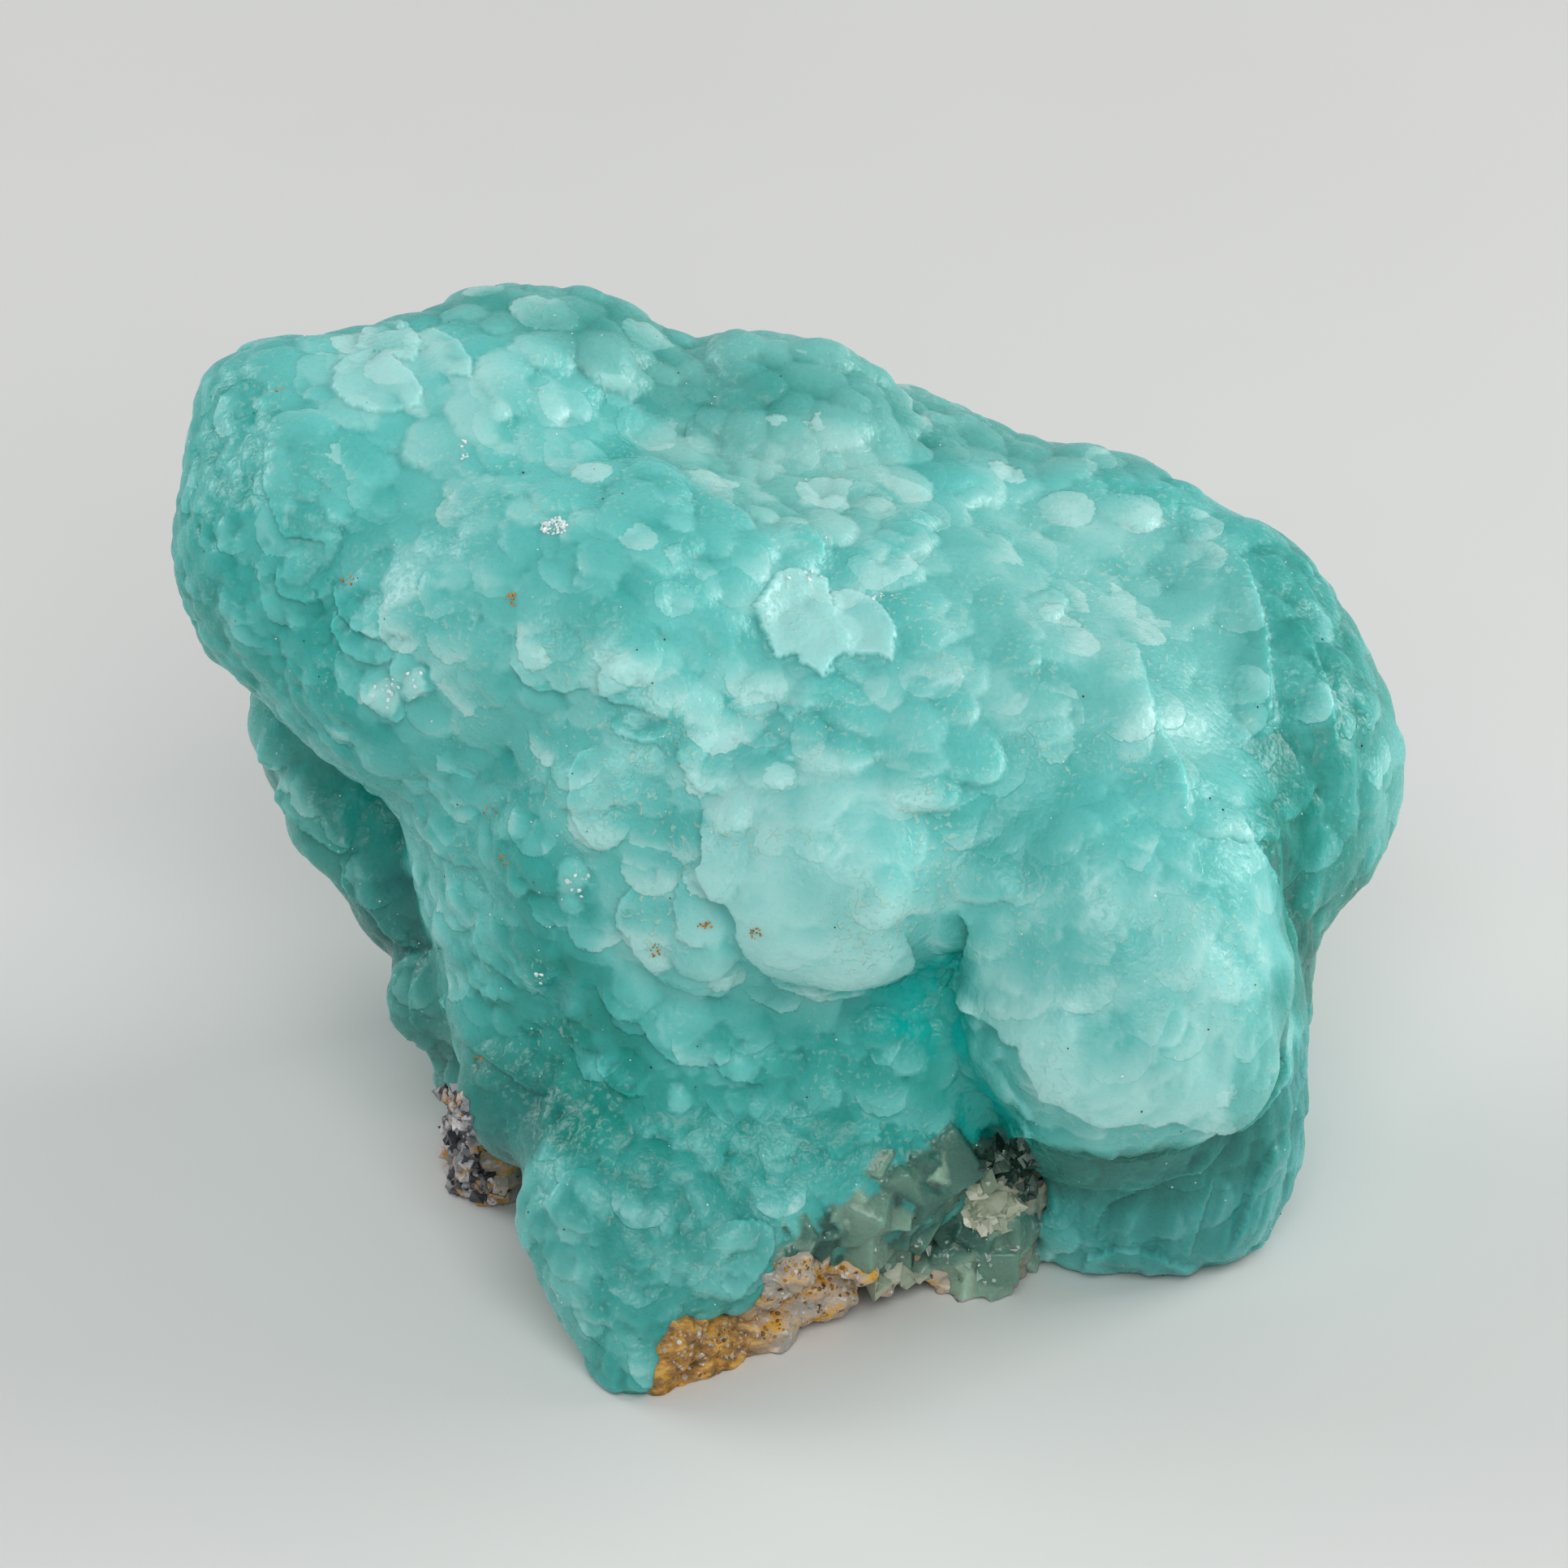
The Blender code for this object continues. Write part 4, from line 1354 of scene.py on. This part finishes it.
ROCK_FACE: Pixels = (
    (808, 1720), (820, 1660), (826, 1640), (850, 1630), (893, 1628), (918, 1620), (937, 1600), (948, 1571),
    (974, 1556), (1023, 1556), (1056, 1569), (1097, 1586), (1128, 1592), (1130, 1604), (1078, 1614),
    (1037, 1626), (974, 1650), (937, 1658), (900, 1682), (850, 1705),
)


@dataclass
class HostRock:
    """The scrap of rock that the crust grew on."""

    node: str = "host_rock"
    voxel: float = 0.24
    grow: float = 0.22
    triangles: int = 120000
    druse: Point = (-19.2, -1.7, 2.2)
    outcrop: Point = (14.5, -12.0, 5.0)
    lump: Span = (1.0, 1.6)
    shown: Span = (0.12, 0.36)
    grit: float = 0.45
    lumps: int = 900
    stain: Point = (-6.0, -26.5, 1.2)

    def near(self, places: np.ndarray, centre: Point, reach: float) -> np.ndarray:
        """How near places are to a point, from 0 outside the reach, in millimetres, to 1 at its middle."""
        return 1.0 - smoothstep(0.5, 1.0, np.linalg.norm(places / MM - np.array(centre), axis=1) / reach)

    def face(self, view: PhotoView, tree: BVHTree) -> bpy.types.Object:
        """The lumps of rock that the photograph shows at the foot of the crust, sunk into it.

        Args:
            view: the photograph's view.
            tree: the surface of the crust and the rock.

        Returns:
            The lumps as one mesh.
        """
        bpy.ops.object.select_all(action="DESELECT")
        bpy.ops.mesh.primitive_ico_sphere_add(subdivisions=2, radius=1.0)
        ball = bpy.context.active_object
        master, shape = points_of(ball), faces_of(ball)
        bpy.data.objects.remove(ball, do_unlink=True)
        draw = random.Random(23)
        outline = np.array(ROCK_FACE)
        low, high = outline.min(axis=0), outline.max(axis=0)
        spots = np.array([[draw.uniform(low[0], high[0]), draw.uniform(low[1], high[1])]
                          for _ in range(self.lumps * 4)])
        spots = spots[inside(ROCK_FACE, spots)][:self.lumps]
        room = view.distance_to(ROCK_FACE + ROCK_FACE[:1], spots)
        points: list[np.ndarray] = []
        faces: list[tuple[int, ...]] = []
        for spot, reach in zip(spots, room):
            hit = view.on_surface(tree, tuple(spot))
            if hit is None:
                continue
            size = min(draw.uniform(*self.lump), self.grit + reach)
            centre = np.array(hit[0] - hit[1] * ((size - draw.uniform(*self.shown)) * MM))
            stretch = np.array([draw.uniform(0.8, 1.2) for _ in range(3)])
            faces += [tuple(len(points) * len(master) + corner for corner in face) for face in shape]
            points.append(master * stretch * (size * MM) + centre)
        return mesh_piece("rock_lumps", np.vstack(points), faces)

    def build(self, finish: RockFinish, view: PhotoView, crust: bpy.types.Object) -> bpy.types.Object:
        """Models the rock's broken surface and dresses it.

        Args:
            finish: its material.
            view: the photograph's view.
            crust: the crust that it carries.

        Returns:
            The finished piece.
        """
        rock = merged_copy(self.node, "host_rock_skin")
        apply_modifier(rock, "SUBSURF", levels=1, render_levels=1)
        lumps = self.face(view, surface_tree((crust, rock)))
        select_only(rock)
        lumps.select_set(True)
        bpy.ops.object.join()
        apply_modifier(rock, "REMESH", mode="VOXEL", voxel_size=self.voxel * MM)
        places = points_of(rock)
        facing = normals_of(rock)
        layers = np.sin(places[:, 2] / MM * 4.2 + 2.0 * noise_at(places, 3.0, 1.5))
        push = self.grow + 0.28 * noise_at(places, 1.7, 4.0) + 0.30 * noise_at(places, 0.7, 9.0)
        push += 0.10 * layers * (np.abs(facing[:, 2]) < 0.7)
        places = places + facing * (push * MM)[:, None]
        places[:, 2] = np.clip(places[:, 2], 0.02 * MM, None)
        move_points(rock, places)
        apply_modifier(rock, "TRIANGULATE")
        apply_modifier(rock, "DECIMATE", ratio=min(1.0, self.triangles / len(rock.data.polygons)))
        places = points_of(rock)
        store_values(rock, "dark", self.near(places, self.druse, 6.0))
        store_values(rock, "cream", self.near(places, self.outcrop, 7.5))
        store_values(rock, "stain", self.near(places, self.stain, 7.0))
        rock.data.materials.append(finish.build())
        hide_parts(self.node)
        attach(rock, "root")
        return rock


class GrainShape(Enum):
    """The forms of the small crystals and grains."""

    BLOCK = "block"
    SHARD = "shard"
    SPECK = "speck"


@dataclass(frozen=True)
class Patch:
    """Where grains sit: the pixel of the patch's middle, its half width and height in pixels, their number.

    With an outline, grains outside it are left out.
    """

    pixel: tuple[float, float]
    reach: tuple[float, float]
    count: int
    outline: Pixels = ()


@dataclass
class Grains:
    """Small crystals or grains that are set on the specimen, modelled once and copied."""

    name: str
    slot: str
    finish: GrainFinish
    shape: GrainShape
    size: Span
    patches: tuple[Patch, ...] = ()
    scattered: int = 0
    tallness: Span = (0.7, 1.3)
    sink: float = 0.35
    upright: float = 0.5
    seed: int = 3

    def master(self) -> tuple[np.ndarray, list[tuple[int, ...]]]:
        """Models the grain that the others are copied from, about 1 across.

        Returns:
            Its points and faces.
        """
        if self.shape is GrainShape.BLOCK:
            return cut_block()
        bpy.ops.object.select_all(action="DESELECT")
        if self.shape is GrainShape.SHARD:
            bpy.ops.mesh.primitive_cone_add(vertices=5, radius1=0.5, radius2=0.12, depth=1.0)
            grain = bpy.context.active_object
            bpy.ops.object.mode_set(mode="EDIT")
            bpy.ops.mesh.select_all(action="SELECT")
            bpy.ops.mesh.bisect(plane_co=(0.1, 0.0, 0.3), plane_no=(0.5, 0.2, 0.84), use_fill=True,
                                clear_outer=True)
            bpy.ops.mesh.select_all(action="SELECT")
            bpy.ops.mesh.normals_make_consistent(inside=False)
            bpy.ops.object.mode_set(mode="OBJECT")
        else:
            bpy.ops.mesh.primitive_ico_sphere_add(subdivisions=1, radius=0.5)
            grain = bpy.context.active_object
        points = points_of(grain)
        faces = faces_of(grain)
        bpy.data.objects.remove(grain, do_unlink=True)
        return points, faces

    def places(self, view: PhotoView, tree: BVHTree, crust: bpy.types.Object,
               draw: random.Random) -> list[tuple[Vector, Vector]]:
        """Chooses where the grains sit.

        Args:
            view: the photograph's view.
            tree: the surfaces of the dressed specimen.
            crust: the crust, for grains scattered all over.
            draw: the source of chance.

        Returns:
            A place and a normal for each grain.
        """
        found = []
        for patch in self.patches:
            for _ in range(patch.count):
                turn = draw.uniform(0.0, math.tau)
                away = math.sqrt(draw.random())
                pixel = (patch.pixel[0] + patch.reach[0] * away * math.cos(turn),
                         patch.pixel[1] + patch.reach[1] * away * math.sin(turn))
                if patch.outline and not inside(patch.outline, np.array([pixel]))[0]:
                    continue
                hit = view.on_surface(tree, pixel)
                if hit:
                    found.append(hit)
        for _ in range(self.scattered):
            face = crust.data.polygons[draw.randrange(len(crust.data.polygons))]
            found.append((face.center.copy(), face.normal.copy()))
        return found

    def build(self, view: PhotoView, tree: BVHTree, crust: bpy.types.Object) -> bpy.types.Object:
        """Sets the grains on the specimen and dresses them.

        Args:
            view: the photograph's view.
            tree: the surfaces of the dressed specimen.
            crust: the crust, for grains scattered all over.

        Returns:
            The finished piece.
        """
        draw = random.Random(self.seed)
        master, shape = self.master()
        points: list[np.ndarray] = []
        faces: list[tuple[int, ...]] = []
        shades: list[np.ndarray] = []
        for place, normal in self.places(view, tree, crust, draw):
            size = draw.uniform(*self.size) * MM
            form = master * np.array([draw.uniform(0.7, 1.3), draw.uniform(0.7, 1.3), draw.uniform(*self.tallness)])
            form = form + np.outer(form[:, 2], [draw.uniform(-0.4, 0.4), draw.uniform(-0.4, 0.4), 0.0])
            form = form * (1.0 + np.array([[draw.uniform(-0.12, 0.12)] for _ in form]))
            loose = Euler((draw.uniform(0, math.tau), draw.uniform(0, math.tau), draw.uniform(0, math.tau)))
            straight = normal.to_track_quat("Z", "Y") @ Euler((0, 0, draw.uniform(0, math.tau))).to_quaternion()
            turn = loose.to_quaternion().slerp(straight, self.upright).to_matrix()
            seat = place - normal * (size * self.sink * draw.uniform(0.3, 1.0))
            start = sum(len(block) for block in points)
            points.append(form @ np.array(turn).T * size + np.array(seat))
            faces += [tuple(start + corner for corner in face) for face in shape]
            shades.append(np.full(len(form), draw.random()))
        places = np.vstack(points)
        places[:, 2] = np.clip(places[:, 2], 0.02 * MM, None)
        piece = mesh_piece(self.name, places, faces)
        store_values(piece, "shade", np.concatenate(shades))
        piece.data.materials.append(self.finish.build())
        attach(piece, "root")
        return piece


def grain_pieces() -> tuple[Grains, ...]:
    """The crystals, stains and specks that the photograph shows, from the foot up; the glints are white specks that
    are painted highlights.
    """
    clear = GrainFinish("clear_splinter", ("8fb3a2", "b5cfc0", "e2ece2"), 0.2, 0.6, 0.8)
    cream = GrainFinish("cream_crystal", ("8b9a84", "b3baa2", "d2d3c0"), 0.3)
    smoky = GrainFinish("smoky_crystal", ("1a2d26", "2a433a", "435e54", "70877c"), 0.15)
    sugary = GrainFinish("sugary_druse", ("24262c", "4b4d54", "8d8c90", "c9c6c6", "b07a20"), 0.3)
    gritty = GrainFinish("rock_grit", ("6a4a22", "b5802c", "c9ab88", "a39c95", "ddd6cb"), 0.6)
    ochre = GrainFinish("ochre_stain", ("7a5412", "b0791a", "d6962a"), 0.6)
    white = GrainFinish("bruise", ("c4e4e0", "e6f6f4", "ffffff"), 0.3)
    # Painted highlights: the colours of the white glint specks.
    glint = GrainFinish("glint", ("bfe5e0", "e9f8f6", "ffffff"), 0.1)
    dust = GrainFinish("dust", ("0c0b09", "2a2018", "4a3a22"), 0.7)
    return (
        Grains("clear_splinters", "smithsonite", clear, GrainShape.SHARD, (0.4, 0.9),
               (Patch((1140, 1555), (100, 26), 14), Patch((1215, 1540), (40, 40), 12)), tallness=(0.8, 1.6),
               upright=0.4, seed=5),
        Grains("smoky_crystals", "host_rock", smoky, GrainShape.BLOCK, (0.4, 0.95),
               (Patch((1240, 1428), (36, 24), 80), Patch((1262, 1462), (18, 14), 18)), sink=0.35, upright=0.2,
               seed=7),
        Grains("cream_crystals", "host_rock", cream, GrainShape.BLOCK, (0.5, 1.3),
               (Patch((1226, 1480), (28, 26), 60), Patch((1206, 1500), (18, 12), 14),
                Patch((1110, 1578), (30, 8), 14)), sink=0.35, upright=0.2, seed=9),
        Grains("druse", "host_rock", sugary, GrainShape.BLOCK, (0.35, 0.95),
               (Patch((560, 1410), (26, 60), 260), Patch((588, 1465), (30, 20), 120),
                Patch((555, 1360), (14, 26), 50)), sink=0.25, upright=0.2, seed=11),
        Grains("rock_grit", "host_rock", gritty, GrainShape.SPECK, (0.15, 0.45),
               (Patch((970, 1635), (170, 95), 1100, ROCK_FACE),), sink=0.3, seed=13),
        Grains("ochre_stains", "smithsonite", ochre, GrainShape.SPECK, (0.08, 0.22),
               (Patch((630, 738), (7, 9), 22), Patch((868, 1140), (9, 7), 16), Patch((930, 1150), (8, 7), 18),
                Patch((808, 1170), (6, 10), 14), Patch((620, 1060), (9, 8), 16), Patch((430, 715), (12, 6), 12),
                Patch((605, 1000), (10, 8), 7), Patch((345, 480), (6, 4), 5), Patch((590, 1305), (8, 5), 12),
                Patch((985, 1560), (40, 8), 60), Patch((1195, 1497), (9, 9), 26), Patch((1240, 1478), (8, 8), 12)),
               tallness=(0.4, 0.8), upright=0.9, sink=0.1, seed=15),
        Grains("bruise", "smithsonite", white, GrainShape.SHARD, (0.35, 0.75),
               (Patch((683, 648), (16, 11), 90), Patch((573, 552), (8, 18), 16), Patch((500, 838), (26, 12), 14),
                Patch((470, 858), (16, 16), 12), Patch((992, 708), (26, 6), 14), Patch((712, 1085), (14, 24), 16),
                Patch((668, 1205), (10, 8), 10), Patch((1085, 735), (16, 5), 8)),
               tallness=(0.4, 0.8), upright=0.9, sink=0.3, seed=17),
        # Painted highlights: tiny white specks that stand in for glints of light.
        Grains("glints", "smithsonite", glint, GrainShape.SPECK, (0.08, 0.17), scattered=450, sink=0.2, seed=19),
        Grains("dust", "smithsonite", dust, GrainShape.SPECK, (0.08, 0.18), scattered=150, sink=0.1, seed=21),
    )


# The studio


@dataclass
class Studio:
    """A plain pale floor under plain soft light."""

    floor_size: float = 4.0
    world_light: float = 0.28

    def light(self, name: str, place: Point, size: float, power: float) -> None:
        """Adds a soft square light that faces the specimen.

        Args:
            name: the light's name.
            place: where it is, in metres.
            size: its side, in metres.
            power: its power, in watts.
        """
        lamp = bpy.data.lights.new(name, "AREA")
        lamp.size = size
        lamp.energy = power
        holder = bpy.data.objects.new(name, lamp)
        bpy.context.scene.collection.objects.link(holder)
        holder.location = place
        way = Vector((0.0, 0.0, 0.03)) - Vector(place)
        holder.rotation_euler = way.to_track_quat("-Z", "Y").to_euler()

    def build(self, finish: FloorFinish) -> None:
        """Adds the floor, the lights and the world."""
        bpy.ops.object.select_all(action="DESELECT")
        bpy.ops.mesh.primitive_plane_add(size=self.floor_size)
        floor = bpy.context.active_object
        floor.name = "floor"
        floor.data.materials.append(finish.build())
        self.light("key_light", (0.06, -0.48, 0.55), 0.45, 2.6)
        self.light("left_light", (-0.50, 0.25, 0.32), 0.30, 1.3)
        self.light("right_light", (0.52, 0.14, 0.26), 0.30, 2.0)
        world = bpy.data.worlds.new("studio")
        world.use_nodes = True
        background = world.node_tree.nodes["Background"]
        background.inputs["Color"].default_value = (0.93, 0.96, 1.0, 1.0)
        background.inputs["Strength"].default_value = self.world_light
        bpy.context.scene.world = world
        bpy.context.scene.view_settings.view_transform = "Standard"


def main() -> None:
    """Dresses the specimen and sets the stage."""
    logging.basicConfig(level=logging.INFO, format="%(name)s: %(message)s")
    view = PhotoView()
    crust = Crust(view).build(SmithsoniteFinish())
    log.info("%s: %d faces", crust.name, len(crust.data.polygons))
    rock = HostRock().build(RockFinish(), view, crust)
    log.info("%s: %d faces", rock.name, len(rock.data.polygons))
    tree = surface_tree((crust, rock))
    for grains in grain_pieces():
        piece = grains.build(view, tree, crust)
        log.info("%s: %d faces", piece.name, len(piece.data.polygons))
    Studio().build(FloorFinish())
    view.build()


if __name__ == "__main__":
    main()
